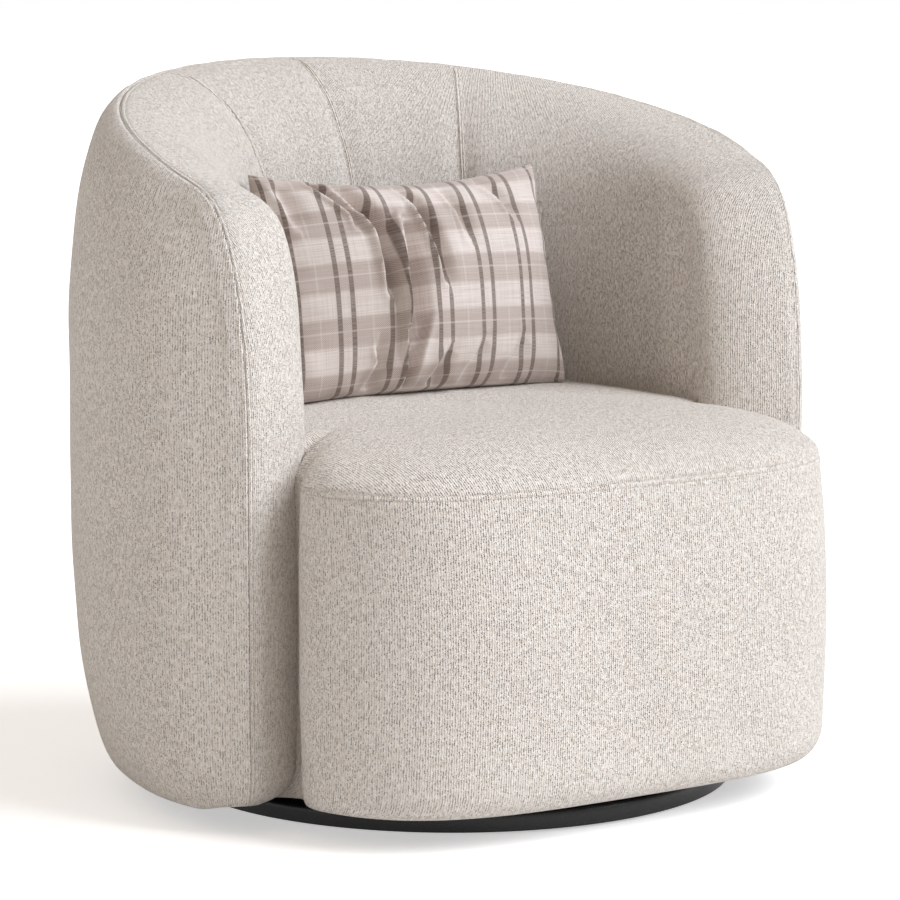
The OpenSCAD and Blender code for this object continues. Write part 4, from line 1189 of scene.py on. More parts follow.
@dataclass
class WallFace:
    """One panel's mesh on one face of the wall, between two places along the rim.

    Its rows run up the wall and its columns along it. The arrays s, z and d hold each point's own
    measures in the wall, with s counted from 0 on either half, and sign tells the halves apart.
    """

    shape: WallShape
    side: Side
    places: Array
    row_step: float = 10.0
    sign: Array = field(init=False)
    rim: Array = field(init=False)
    grid: Array = field(init=False)
    s: Array = field(init=False)
    z: Array = field(init=False)
    d: Array = field(init=False)
    cloth: Array = field(init=False)

    def __post_init__(self) -> None:
        """Lays the mesh's points on the surface, and works out its cloth map."""
        shape = self.shape
        self.sign = side_of(self.places)
        self.rim = shape.rim_at(np.abs(self.places), 0.0)
        low = shape.foot_at(self.side, self.rim[:, 0])
        self.z = self.row_heights(low)
        self.s = np.broadcast_to(self.rim[:, 0], self.z.shape)
        self.d, towards = self.rim_distance(self.s, self.z)
        w = shape.face_w(self.side, self.s, self.z - low, self.d, 0.0) + FACE_SHIFT[self.side]
        self.grid = shape.point(self.signed_s, w, self.z)
        extra = shape.extra_cloth(self.side, self.s, self.d)
        outward = towards * np.stack([self.sign, np.ones_like(self.sign)], axis=-1)
        self.cloth = np.stack([self.signed_s, self.z], axis=-1) + extra[..., None] * outward

    @property
    def signed_s(self) -> Array:
        """The points' lengths along the wall, below 0 on the left."""
        return self.s * self.sign

    def row_heights(self, low: Array) -> Array:
        """Spaces each column's points at even steps over the surface, and closer beside the seam.

        Args:
            low: The height of each column's lower end.

        Returns:
            The points' heights, as rows by columns.
        """
        share = (1.0 - np.cos(np.linspace(0.0, math.pi, 401))) / 2.0
        s = np.broadcast_to(self.rim[:, 0], (len(share), len(self.rim)))
        z = mix(low, self.rim[:, 1], share[:, None])
        w = self.shape.face_w(self.side, s, z - low, self.rim_distance(s, z)[0], 0.0)
        arc = lengths_along(np.stack([w, z], axis=-1))
        longest = float(arc[-1].max())
        marks = graded(longest, self.row_step, True, True)
        fine = SEAM_STEPS[-1]
        middle = (marks > fine) & (marks < longest - fine)
        rows = np.empty((len(marks), len(self.rim)))
        for j, length in enumerate(arc[-1]):
            own = np.where(marks < longest / 2.0, marks, length - (longest - marks))
            own[middle] = mix(fine, length - fine, (marks[middle] - fine) / (longest - 2.0 * fine))
            rows[:, j] = np.interp(own, arc[:, j], z[:, j])
        rows[-1] = self.rim[:, 1]
        return rows

    def rim_distance(self, s: Array, z: Array) -> tuple[Array, Array]:
        """Measures how far points lie from the rim, exactly where they are close to it.

        Args:
            s: Lengths along the wall.
            z: Heights.

        Returns:
            The distances, and the unit directions to the rim as [s, z].
        """
        shape = self.shape
        nudge, on_edge_margin = 0.01, 1e-6
        exact_to, over = 1.5, 5.0
        near, towards = shape.nearest(s, z, shape.rim)
        near = shape.softened(s, z, near, shape.rim)
        below = np.maximum(0.0, self.rim[:, 1] - z)
        ahead = shape.rim_at(np.abs(self.places) + nudge, 0.0)
        behind = shape.rim_at(np.abs(self.places) - nudge, 0.0)
        slope = unit(np.abs(ahead - behind))
        on_edge = np.abs(self.places) >= shape.corner_s + 90.0 - on_edge_margin
        beside = below * np.where(on_edge, 0.0, slope[:, 0])
        exact = mix(beside, near, ease((below - exact_to) / over))
        return np.where(on_edge, 0.0, exact), towards

    def from_rim(self) -> Array:
        """Measures how far the points lie from the rim, in a straight line.

        Returns:
            The distances.
        """
        up = self.z - self.z[0]
        edge = self.shape.face_w(self.side, self.s, up, np.zeros_like(self.d), 0.0)
        here = self.shape.face_w(self.side, self.s, up, self.d, 0.0)
        return np.hypot(here - edge, self.d)

    def behind(
        self, edge: float, deep_back: float, deep_arm: float, foot: float, front_foot: float
    ) -> Array:
        """Lays the hidden side: the padding's back, in the same rows and columns.

        Args:
            edge: How far below the rim the padding's back starts.
            deep_back: The padding's depth at the back.
            deep_arm: The padding's depth at the arms.
            foot: The height of its lower edge.
            front_foot: That height at the arm fronts.

        Returns:
            The points.
        """
        shape = self.shape
        share = (self.z - self.z[0]) / (self.rim[:, 1] - self.z[0])
        rim = shape.rim_at(np.abs(self.places), edge)
        at_front = np.abs(rim[:, 0]) > shape.wall_half - shape.front_foot_w
        low = np.where(at_front, front_foot, foot)
        s = np.broadcast_to(rim[:, 0], share.shape)
        z = mix(low, rim[:, 1], share)
        d = shape.nearest(s, z, shape.rim_line(edge))[0]
        d[-1] = 0.0
        deep = mix(deep_back, deep_arm, shape.arm_share(s))
        w = shape.face_w(self.side, s, z - low, d, deep)
        return shape.point(s * self.sign, w + BACK_SHIFT[self.side], z)


@dataclass
class Seams:
    """How sewn seams and rows of stitches pull the cloth in, and how it waves between them.

    The rounding lowers the cloth beside the rim's seam at the arm's front. Along the top it is a
    small share of that, below 0, because the cloth rises there by a little instead.
    """

    groove_depth: float = 1.7
    groove_width: float = 1.7
    stitch_away: float = 5.0
    stitch_depth: float = 0.8
    stitch_width: float = 1.0
    rim_rounding: float = 3.0
    rounding_width: float = 14.0
    top_rounding: float = -0.3
    wave_height: float = 0.9
    wave_length: float = 130.0
    wave_clear: float = 30.0
    pucker_height: float = 0.35
    pucker_length: float = 26.0
    pucker_reach: float = 16.0
    wave_seed: int = 3
    pucker_seed: int = 5

    def pull(self, from_seam: Any, stitched: bool) -> Any:
        """Works out how far the cloth lies below its smooth surface.

        Args:
            from_seam: Distances from a seam.
            stitched: True if a row of stitches runs beside it.

        Returns:
            The depths.
        """
        groove = self.groove_depth * bump_at(from_seam, self.groove_width)
        if stitched:
            groove = groove + self.stitch_depth * bump_at(from_seam - self.stitch_away, self.stitch_width)
        return groove

    def rim_pull(self, from_rim: Any, stitched: bool, at_front: Any) -> Any:
        """Returns the pull of the rim's seam, which also rounds the rim off at the arm's front."""
        rounding = self.rim_rounding * mix(self.top_rounding, 1.0, at_front)
        return self.pull(from_rim, stitched) + rounding * bump_at(from_rim, self.rounding_width)

    def rise(self, points: Array, from_seam: Array) -> Array:
        """Returns the cloth's gentle waves, and its small puckers beside a seam."""
        slow = self.wave_height * waviness(points, self.wave_length, self.wave_seed)
        small = self.pucker_height * waviness(points, self.pucker_length, self.pucker_seed)
        return slow * ease(from_seam / self.wave_clear) + small * np.exp(-from_seam / self.pucker_reach)


@dataclass
class StitchRow:
    """A row of top-stitches: short threads that rise from the cloth and dive back into it."""

    length: float = 3.6
    gap: float = 1.1
    radius: float = 0.36
    sides: int = 6
    # Along half a stitch, as shares of its length: the rings' places, and their width and height in radii
    half_shares: tuple[float, ...] = (0.0, 0.12, 0.35)
    half_widths: tuple[float, ...] = (0.25, 0.8, 1.0)
    half_heights: tuple[float, ...] = (-1.2, -0.24, 0.4)

    def build(self, path: Array, normals: Array) -> Form:
        """Makes the stitches along a line on the cloth.

        Args:
            path: Points along the line, in millimetres.
            normals: The cloth's normals there.

        Returns:
            The points and faces of all the stitches.
        """
        run = lengths_along(path)
        pitch = self.length + self.gap
        starts = np.arange(pitch / 2.0, run[-1] - pitch, pitch)
        half = np.array(self.half_shares)
        shares = np.concatenate([half, 1.0 - half[::-1]])
        widths = np.array(self.half_widths + self.half_widths[::-1]) * self.radius
        heights = np.array(self.half_heights + self.half_heights[::-1]) * self.radius
        at = starts[:, None] + shares * self.length
        centre, out = [np.stack([np.interp(at, run, line[:, k]) for k in range(3)], axis=-1)
                       for line in (path, normals)]
        out = unit(out)
        aside = unit(np.cross(np.gradient(centre, axis=1), out))
        angles = 2.0 * math.pi * np.arange(self.sides) / self.sides
        ring = np.cos(angles)[:, None] * aside[..., None, :] + np.sin(angles)[:, None] * out[..., None, :]
        points = (centre + heights[:, None] * out)[..., None, :] + widths[:, None, None] * ring
        faces = []
        for n in range(len(starts)):
            numbers = np.arange(len(shares) * self.sides).reshape(len(shares), self.sides)
            rings = n * len(shares) * self.sides + numbers
            for low, high in zip(rings[:-1], rings[1:]):
                quads = np.stack([low, np.roll(low, -1), np.roll(high, -1), high], axis=-1)
                faces.extend(quads.tolist())
            faces.append(rings[0][::-1].tolist())
            faces.append(rings[-1].tolist())
        return points.reshape(-1, 3), faces


@dataclass
class PaddedWall:
    """The wall's padding and covers: one outer pad and four inner ones, with their seams."""

    shape: WallShape
    linen: Material
    thread: Material
    seams: Seams = field(default_factory=Seams)
    stitches: StitchRow = field(default_factory=StitchRow)
    fill: float = 0.75
    cover_t: float = 1.6
    layer_gap: float = 0.4
    wadding_t: float = 12.0
    back_foam_t: float = 45.0
    arm_foam_t: float = 25.0
    foam_edge: float = 30.0
    hem_end_w: float = -76.0
    hem_step: float = 3.0
    hem_cloth: float = 24.0
    rim_lead: float = 22.0
    column_step: float = 12.0
    channel_end_h: float = 330.0
    rim_end_up: float = 6.0
    sitter: Triple = (0.0, 0.0, 300.0)
    # Over what length from the rim a channel seam's pull grows, and the share that it starts with
    seam_fade: float = 1.5
    seam_fade_start: float = 0.3
    # The columns nearest to the upright front seam, in degrees of the corner before it
    front_steps: tuple[float, ...] = (0.0, 0.25, 0.55, 0.9, 1.3, 1.75, 2.15, 2.5, 2.85, 3.3, 4.1, 5.2)

    @property
    def wadding_in(self) -> float:
        """How deep the wadding's back lies below the outer cover's surface."""
        return self.cover_t + self.layer_gap + self.wadding_t

    def half_places(self, start: float, fine_start: bool) -> Array:
        """Returns the columns' places from a start on the top to the foot of the arm's front."""
        top = start + graded(self.shape.corner_s - start, self.column_step, fine_start, False)
        away = np.concatenate([self.front_steps, np.linspace(6.6, 88.0, 38)])
        return np.concatenate([top, self.shape.corner_s + 90.0 - away[::-1]])

    def settle(self, face: WallFace, pull: Array, from_seam: Array) -> Array:
        """Returns a face's points once the seams have pulled it in and it waves between them."""
        smooth = grid_normals(face.grid) * face.side.value
        normals = self.rim_led(smooth, face.signed_s, face.z, face.from_rim())
        return face.grid + (self.seams.rise(face.grid, from_seam) - pull)[..., None] * normals

    def rim_led(self, normals: Array, s: Array, z: Array, from_rim: Array) -> Array:
        """Returns the directions in which the seams pull: the normals, led over to the rim's own."""
        near = bump_at(from_rim, self.rim_lead)[..., None]
        return unit(mix(normals, self.shape.rim_out(s, z), near))

    def outer_pad(self) -> None:
        """Builds the outer cover with its wadding, hem and rim."""
        half = self.half_places(0.0, False)
        face = WallFace(self.shape, Side.OUTER, np.concatenate([-half[:0:-1], half]))
        from_rim = face.from_rim()
        pull = self.seams.rim_pull(from_rim, False, self.shape.front_share(face.s))
        front = self.settle(face, pull, from_rim)
        deep = self.wadding_in
        foot = self.shape.foot + self.cover_t + self.layer_gap
        back = face.behind(deep, deep, deep, foot, foot)
        front = np.concatenate([self.hem(face, 0.0)[None], front])
        back = np.concatenate([self.hem(face, self.cover_t)[None], back])
        cloth = np.concatenate([face.cloth[:1] - np.array([0.0, self.hem_cloth]), face.cloth])
        make_pad("outer_wall_pad", front[:, ::-1], back[:, ::-1], cloth[:, ::-1], self.linen,
                 ["outer_cover", "outer_wadding"])

    def hem(self, face: WallFace, deep: float) -> Array:
        """Lays the inner edge of the hem below the wall, which ends beside the base.

        Args:
            face: The outer face.
            deep: How far above the hem's underside it lies.

        Returns:
            The edge's points.
        """
        shape = self.shape
        edge_s = shape.rim_at(np.abs(face.places), deep)[:, 0]
        s = np.where(edge_s > shape.wall_half - shape.front_foot_w, edge_s - self.hem_step, edge_s)
        reach = (shape.wall_half - self.wadding_in - s) / (shape.outer_roll - self.wadding_in)
        draw = (shape.rim_depth - self.wadding_in) * (1.0 - roll(reach))
        w = np.maximum(self.hem_end_w - draw, -shape.drawn_in(shape.rim_depth, 0.0))
        return shape.point(s * face.sign, w, np.full(len(s), shape.foot + deep))

    def inner_pad(self, name: str, places: Array, seam_at: Sequence[float]) -> None:
        """Builds one inner panel with its foam.

        Args:
            name: The panel's name.
            places: The columns' places along the rim.
            seam_at: The channel seams that bound the panel, as lengths along the wall.
        """
        face = WallFace(self.shape, Side.INNER, places)
        nearest = from_rim = face.from_rim()
        pull = self.seams.rim_pull(from_rim, True, self.shape.front_share(face.s))
        for at in seam_at:
            away = face.signed_s - at
            stitched = bool(away.max() > 1.0)
            fade = ease(face.d / self.seam_fade + self.seam_fade_start)
            pull = pull + self.seams.pull(np.abs(away), stitched) * fade
            nearest = np.minimum(nearest, np.abs(away))
        front = self.settle(face, pull, nearest)
        cover_in = self.cover_t + self.layer_gap
        back = face.behind(self.foam_edge, cover_in + self.back_foam_t, cover_in + self.arm_foam_t,
                           self.shape.inner_foot, self.shape.foot + cover_in)
        make_pad(f"{name}_pad", front, back, face.cloth, self.linen, [f"{name}_panel", "inner_foam"])

    def inner_face(self, s: Array, z: Array, d: Array) -> Array:
        """Finds the inner face's smooth points.

        Args:
            s: Lengths along the wall.
            z: Heights.
            d: Distances from the rim.

        Returns:
            The points.
        """
        low = self.shape.foot_at(Side.INNER, s)
        w = self.shape.face_w(Side.INNER, np.abs(s), z - low, d, 0.0)
        return self.shape.point(s, w + FACE_SHIFT[Side.INNER], z)

    def line_normals(self, points: Array, across: Array) -> Array:
        """Works out the cloth's normals along a line on it.

        Args:
            points: The line's points.
            across: Directions on the cloth that cross the line.

        Returns:
            The unit normals, turned up or towards the sitter.
        """
        normals = unit(np.cross(np.gradient(points, axis=0), across))
        inward = ((self.sitter - points) * normals).sum(1)
        upward = normals[:, 2]
        facing = np.where(np.abs(upward) > 0.5, upward, inward)
        return normals * side_of(facing)[:, None]

    def rim_path(self, side: float) -> SeamLine:
        """Lays the stitch line beside the rim of one half, from the middle of the back to the foot.

        Args:
            side: -1 for the left half and 1 for the right.

        Returns:
            The smooth line, its normals, and how the seam and the waves move it.
        """
        shape, away = self.shape, self.seams.stitch_away
        top_points, corner_points, front_points = 260, 200, 160
        top = np.linspace(0.0, shape.corner_s, top_points)
        corner = shape.corner_s + np.linspace(1.0, 90.0, corner_points)
        rim = shape.rim_at(np.concatenate([top, corner]), 0.0)
        down = np.linspace(rim[-1, 1], shape.foot + self.rim_end_up, front_points)[1:]
        front = np.stack([np.full(len(down), shape.wall_half), down], axis=-1)
        rim = np.concatenate([rim, front])
        s_rim, z_rim = rim.T
        across = shape.thickness(s_rim) - shape.rim_depth
        d = shape.inner_roll(s_rim) * (1.0 - np.cos(away / across))
        run = unit(np.gradient(rim, axis=0))
        s, z = s_rim + d * run[:, 1], z_rim - d * run[:, 0]
        points, nearer, further = [self.inner_face(side * s, z, d * share) for share in (1.0, 0.98, 1.02)]
        normals = self.line_normals(points, further - nearer)
        from_rim = np.full(len(d), away)
        led = self.rim_led(normals, side * s, z, from_rim)
        pull = self.seams.rim_pull(from_rim, True, shape.front_share(s))
        return points, normals, led * (self.seams.rise(points, from_rim) - pull)[:, None]

    def channel_path(self, at: float) -> SeamLine:
        """Lays the stitch line beside a channel seam, from the rim down to the seat.

        Args:
            at: The seam's place, as a length along the wall.

        Returns:
            The smooth line, its normals, and how the seam and the waves move it.
        """
        s_at = at + self.seams.stitch_away
        top = float(self.shape.rim_h(np.array(abs(s_at))))
        reach = float(self.shape.inner_roll(np.array(abs(s_at))))
        first_angle, rolled_points, lower_points = 0.06, 120, 60
        angle = np.linspace(first_angle, math.pi / 2.0, rolled_points)
        lower = np.linspace(reach, top - self.channel_end_h, lower_points)[1:]
        d = np.concatenate([reach * (1.0 - np.cos(angle)), lower])
        points, left, right = [self.inner_face(np.full(len(d), s_at + aside), top - d, d)
                               for aside in (0.0, -1.0, 1.0)]
        normals = self.line_normals(points, right - left)
        from_seam = np.full(len(d), self.seams.stitch_away)
        pull = self.seams.pull(from_seam, True)
        return points, normals, normals * (self.seams.rise(points, from_seam) - pull)[:, None]

    def sew(self, name: str, paths: Sequence[SeamLine]) -> None:
        """Sews rows of stitches.

        Args:
            name: The piece's name.
            paths: For each row its line, its normals and how it is moved.
        """
        rows = [self.stitches.build(path + moved, normals) for path, normals, moved in paths]
        points, faces = joined(rows)
        place(make_piece(name, points, faces, self.thread), Body.CHAIR, Slot.LINEN)

    def build(self) -> None:
        """Builds the wall's pads and stitches."""
        channel = self.shape.channel_s
        self.outer_pad()
        arm = self.half_places(channel, True)
        back = graded(channel, self.column_step, True, True)
        self.inner_pad("left_arm", -arm[::-1], [-channel])
        self.inner_pad("left_back", -back[::-1], [-channel, 0.0])
        self.inner_pad("right_back", back, [0.0, channel])
        self.inner_pad("right_arm", arm, [channel])
        self.sew("rim_topstitches", [self.rim_path(side) for side in (-1.0, 1.0)])
        self.sew("channel_topstitches", [self.channel_path(at) for at in (-channel, 0.0, channel)])


# The seat


@dataclass
class DrumSeat:
    """The drum seat: a crowned top panel and an upright border that meet at a sewn seam.

    Its plan is an oval at the front, which ends in an arc beside each arm and is pressed against the
    arm's rounded front there, the nose. Further back it follows the wall's inner face.
    """

    wall: WallShape
    linen: Material
    thread: Material
    seams: Seams = field(default_factory=Seams)
    stitches: StitchRow = field(default_factory=StitchRow)
    fill: float = 0.8
    # The oval and the heights
    rx: float = 318.0
    ry: float = 300.0
    forward: float = 40.0
    power: float = 3.46
    foot: float = 34.0
    seam_h: float = 347.0
    crown: float = 48.0
    crown_flat: float = 4.0
    crown_power: float = 0.6
    bulge: float = 7.0
    edge_r: float = 19.0
    edge_rise: float = 1.6
    seam_inset: float = 5.0
    # The arc beside the arm, with angles in degrees
    flare_r: float = 66.0
    flare_to: float = 42.0
    flare_back: float = 30.0
    flare_inset: float = 0.25
    nose_from: float = 46.0
    nose_gap: float = -0.8
    nose_foot_up: float = 4.0
    foot_squeeze: float = 5.0
    squeeze_h: float = 110.0
    top_squeeze: float = 2.0
    nose_end: float = 12.0
    # The layers
    wall_gap: float = 0.4
    hem_w: float = 24.0
    crease_hem_w: float = 8.0
    cover_t: float = 1.6
    pad_deep: float = 2.0
    foam_h: float = 256.0
    apron_foam_t: float = 24.0
    crease_foam_t: float = 10.0
    crease_slack: float = 2.0
    # The hollow where people sit
    hollow_deep: float = 2.5
    hollow_r: float = 130.0
    hollow_at: Pair = (0.0, -110.0)
    hollow_stretch: Pair = (1.25, 1.0)
    # The mesh
    front_columns: int = 56
    arc_columns: int = 12
    end_columns: int = 6
    nose_columns: int = 8
    seam_fade_columns: float = 11.0
    row_step: float = 11.0
    # Up which of its columns the border's cloth map is measured
    climb_column: int = 60
    wall_columns: int = 60
    foam_rows: Pair = (280.0, 320.0)
    # The higher this power, the closer to the wall the top's edge sinks
    sink_power: int = 12
    top_steps: float = 300.0
    top_step: float = 10.0
    front_turns: Array = field(init=False)
    flare_mid: Array = field(init=False)
    flare_from: float = field(init=False)

    def __post_init__(self) -> None:
        """Finds where the drum's oval turns into the arc beside the arm."""
        target = self.nose_point(np.array([self.nose_from]), 0.0, self.seam_h)[0, 1] - self.flare_back
        least, most, smallest = 30.0, 89.0, 0.02
        turns = np.linspace(least, most, 600)
        centres = self.drum_point(turns) - self.flare_r * self.drum_out(turns)
        reached = centres[:, 1] + self.flare_r * math.sin(math.radians(self.flare_to))
        last = float(np.interp(target, reached, turns))
        edge = np.array([last])
        self.flare_mid = (self.drum_point(edge) - self.flare_r * self.drum_out(edge))[0]
        out = self.drum_out(edge)[0]
        self.flare_from = math.degrees(math.atan2(out[1], out[0]))
        fine = np.concatenate([[0.0], np.linspace(smallest, last, 3000)])
        run = lengths_along(self.drum_point(fine))
        self.front_turns = np.interp(np.linspace(0.0, run[-1], self.front_columns), run, fine)

    def drum_point(self, turn: Array) -> Array:
        """Finds points of the drum's oval.

        Args:
            turn: Angles in degrees from the middle of its front.

        Returns:
            The level points.
        """
        angle = np.radians(turn)
        return np.stack([self.rx * np.sin(angle) ** (2.0 / self.power),
                         -self.forward - self.ry * np.cos(angle) ** (2.0 / self.power)], axis=-1)

    def drum_out(self, turn: Array) -> Array:
        """Finds the oval's normals.

        Args:
            turn: Angles in degrees from the middle of its front.

        Returns:
            The unit normals.
        """
        angle = np.radians(turn)
        power = 2.0 - 2.0 / self.power
        out = [np.sin(angle) ** power / self.rx, -(np.cos(angle) ** power) / self.ry]
        return unit(np.stack(out, axis=-1))

    def nose_point(self, turn: Array, inset: float, z: float) -> Array:
        """Finds points on the arm's rounded front, which the seat's cloth presses into.

        Args:
            turn: Angles in degrees round the arm's front.
            inset: How far inside the cover they lie.
            z: Their height.

        Returns:
            The level points.
        """
        wall = self.wall
        angle = np.radians(turn)
        up = max(0.0, z - wall.foot - self.nose_foot_up)
        squeeze = self.foot_squeeze * (1.0 - ease(up / self.squeeze_h))
        squeeze += self.top_squeeze * ease((z - self.foam_h) / (self.seam_h - self.foam_h))
        out = self.nose_gap + inset - float(squeeze)
        front = float(wall.drawn_in(wall.rim_depth, up))
        s = wall.wall_half + out - (wall.arm_roll + out) * (1.0 - np.cos(angle))
        w = -front - (wall.thickness(s) + out - front) * np.sin(angle) * wall.front_foot(up)
        s = s - wall.front_draw_back * float(1.0 - roll(up / wall.front_rounding))
        return wall.plan_point(s, w)

    def front_half(self, inset: float, crease_inset: float, z: float) -> Array:
        """Lays the border's plan from the middle of the front to the crease by the arm.

        Args:
            inset: How far inside the cover's surface it lies.
            crease_inset: The same at the crease.
            z: The height.

        Returns:
            The level points.
        """
        oval = self.drum_point(self.front_turns) - inset * self.drum_out(self.front_turns)
        k = np.linspace(0.0, 1.0, self.arc_columns + 1)[1:]
        turns = np.radians(mix(self.flare_from, self.flare_to, k))
        reach = self.flare_r - inset * mix(1.0, self.flare_inset, ease(k))
        arc = self.flare_mid + reach[:, None] * np.stack([np.cos(turns), np.sin(turns)], axis=-1)
        crease = self.nose_point(np.array([self.nose_from]), crease_inset, z)[0]
        heading = np.array([-math.sin(turns[-1]), math.cos(turns[-1])])
        knee = arc[-1] + 0.5 * np.linalg.norm(crease - arc[-1]) * heading
        k = np.linspace(0.0, 1.0, self.end_columns + 1)[1:, None]
        end = (1.0 - k) ** 2 * arc[-1] + 2.0 * k * (1.0 - k) * knee + k**2 * crease
        return np.concatenate([oval, arc, end])

    def ring(self, inset: float, wall_inset: float, z: float) -> Array:
        """Lays the seat's whole plan as a ring, from the middle of the front to the right.

        Args:
            inset: How far inside the cover's surface it lies.
            wall_inset: The same beside the wall.
            z: The height.

        Returns:
            The level points.
        """
        turns = np.linspace(self.nose_from, 90.0, self.nose_columns + 1)[1:]
        nose = self.nose_point(turns, wall_inset, z)
        s = np.linspace(self.wall.wall_half - self.wall.arm_roll - self.nose_end, 0.0, self.wall_columns)
        inner = self.wall.plan_point(s, -self.wall.thickness(s) - self.wall_gap - wall_inset)
        half = np.concatenate([self.front_half(inset, wall_inset, z), nose, inner])
        return np.concatenate([half, half[-2:0:-1] * MIRROR])

    def share(self, flat: Array) -> Array:
        """Returns how far out each level point lies, from 0 in the middle to 1 at the seam."""
        x = np.abs(flat[..., 0]) / (self.rx - self.seam_inset)
        y = np.abs(flat[..., 1] + self.forward) / (self.ry - self.seam_inset)
        return limit((x**self.power + y**self.power) ** (1.0 / self.power))

    def crown_h(self, flat: Array) -> Array:
        """Returns the crowned top's height over level points."""
        return self.seam_h + self.crown * (1.0 - self.share(flat) ** self.crown_flat) ** self.crown_power

    def hollow(self, flat: Array) -> Array:
        """Returns how far the foam has settled where people sit."""
        away = np.linalg.norm((flat - np.array(self.hollow_at)) / np.array(self.hollow_stretch), axis=-1)
        return self.hollow_deep * bump_at(away, self.hollow_r)

    def face_inset(self, z: float) -> float:
        """Works out how far the border's face lies inside the oval.

        Args:
            z: The height.

        Returns:
            The inset.
        """
        edge_h = self.edge_rise * self.edge_r
        above = limit((z - self.foot - edge_h) / (self.seam_h - self.foot - edge_h))
        rounded = self.edge_r * (1.0 - roll((z - self.foot) / edge_h))
        return float(rounded - self.bulge * math.sin(math.pi * above) + self.seam_inset * above)

    def border_row(self, inset: float, crease_inset: float, z: float) -> Array:
        """Returns one level row of the border, from the left crease to the right one."""
        half = self.front_half(inset, crease_inset, z)
        flat = np.concatenate([half[:0:-1] * MIRROR, half])
        return np.concatenate([flat, np.full((len(flat), 1), z)], axis=1)

    def border_back(self, heights: Array) -> Array:
        """Lays the border's hidden side: its foam's back, and above that the cover's.

        Args:
            heights: The rows' heights.

        Returns:
            The points, as rows by columns by 3.
        """
        hem_w = self.edge_r + self.hem_w
        rows = [self.border_row(hem_w, self.crease_hem_w + self.cover_t, self.foot + self.cover_t)]
        for z in heights:
            if z <= self.foam_h:
                inset, crease = self.pad_deep + self.apron_foam_t, self.pad_deep + self.crease_foam_t
            else:
                inset, crease = self.face_inset(z) + self.cover_t, self.cover_t
            raised = self.cover_t * (self.seam_h - z) / (self.seam_h - self.foot)
            rows.append(self.border_row(inset, crease, z + raised))
        return np.stack(rows)

    def border_pad(self) -> None:
        """Builds the border with its apron of foam."""
        low_rows = self.foot + np.array([0.0, 0.15, 0.6, 1.4, 2.6, 4.4, 7.0, 10.5, 15.0, 20.0, 26.0])
        high_rows = low_rows[-1] + graded(self.seam_h - low_rows[-1], self.row_step, False, True)[1:]
        heights = np.concatenate([low_rows, high_rows])
        hem = self.border_row(self.edge_r + self.hem_w, self.crease_hem_w, self.foot)
        front = np.stack([hem] + [self.border_row(self.face_inset(z), 0.0, z) for z in heights])
        from_seam = self.seam_h - front[..., 2]
        fade = ease((front[..., 2] - self.foot) / self.seams.wave_clear)
        moved = self.seams.rise(front, from_seam) * fade - self.seams.pull(from_seam, True)
        settled = front + moved[..., None] * grid_normals(front)
        run = lengths_along(front, axis=1)
        middle = run.shape[1] // 2
        across = run - run[:, middle : middle + 1]
        climb = lengths_along(front[:, self.climb_column])
        cloth = np.stack([across, np.broadcast_to(climb[:, None], across.shape)], axis=-1)
        make_pad("seat_border_pad", settled, self.border_back(heights), cloth, self.linen,
                 ["seat_border_cover", "seat_apron_foam"])

    def top_pad(self) -> None:
        """Builds the crowned top with the block of foam below it, as rings that end in two points."""
        centre = np.array([0.0, -self.forward])
        edge = self.ring(self.seam_inset, 0.0, self.seam_h)
        count = len(edge)
        half = len(self.front_turns) + self.arc_columns + self.end_columns
        place_round = np.minimum(np.arange(count), count - np.arange(count))
        beside_border = 1.0 - ease((place_round - half + 1) / self.seam_fade_columns)
        sink = (self.crown_h(edge) - self.seam_h) * beside_border
        rings = []
        for z in (self.foam_h + self.wall_gap, *self.foam_rows, self.seam_h - 2.0 * self.cover_t):
            foam = self.ring(self.face_inset(z) + self.pad_deep, self.pad_deep + self.crease_slack, z)
            rings.append(np.concatenate([foam, np.full((count, 1), z)], axis=1))
        below = len(rings)
        shares = 1.0 - graded(self.top_steps, self.top_step, True, False) / self.top_steps
        for share in shares[:-1]:
            flat = centre + share * (edge - centre)
            height = self.crown_h(flat) - sink * share**self.sink_power
            rings.append(np.concatenate([flat, height[:, None]], axis=1))
        grid = np.stack(rings)
        tip_h = self.seam_h + self.crown - self.hollow(centre)
        tip, low = np.array([*centre, tip_h]), np.array([*centre, grid[0, 0, 2]])
        settled = grid + self.top_moves(grid, below, beside_border)
        points = np.concatenate([settled.reshape(-1, 3), [tip], [low]])
        pad = make_piece("seat_top_pad", points, self.ring_faces(len(grid), count), self.linen,
                         np.concatenate([self.top_cloth(grid, below, tip).reshape(-1, 2), np.zeros((2, 2))]))
        place(pad, Body.CHAIR, Slot.LINEN, ["seat_top_cover", "seat_foam"])

    def top_moves(self, grid: Array, below: int, beside_border: Array) -> Array:
        """Works out how the seam, the waves and the hollow move the top's points.

        Args:
            grid: The smooth points, as rings by points by 3.
            below: How many rings lie below the cover, which don't move.
            beside_border: How much of each column runs beside the border's seam.

        Returns:
            The moves of the points.
        """
        hidden_far, calm_beside_seam = 100.0, 25.0
        wrapped = np.concatenate([grid[:, -2:], grid, grid[:, :2]], axis=1)
        normals = grid_normals(wrapped)[:, 2:-2]
        covered = np.arange(len(grid))[:, None] >= below
        from_seam = np.where(covered, np.linalg.norm(grid - grid[below], axis=-1), hidden_far)
        rise = self.seams.rise(grid, from_seam) * ease(from_seam / calm_beside_seam)
        pull = self.seams.pull(from_seam, False) * beside_border
        moved = np.where(covered, rise - pull - self.hollow(grid[..., :2]), 0.0)
        return moved[..., None] * normals

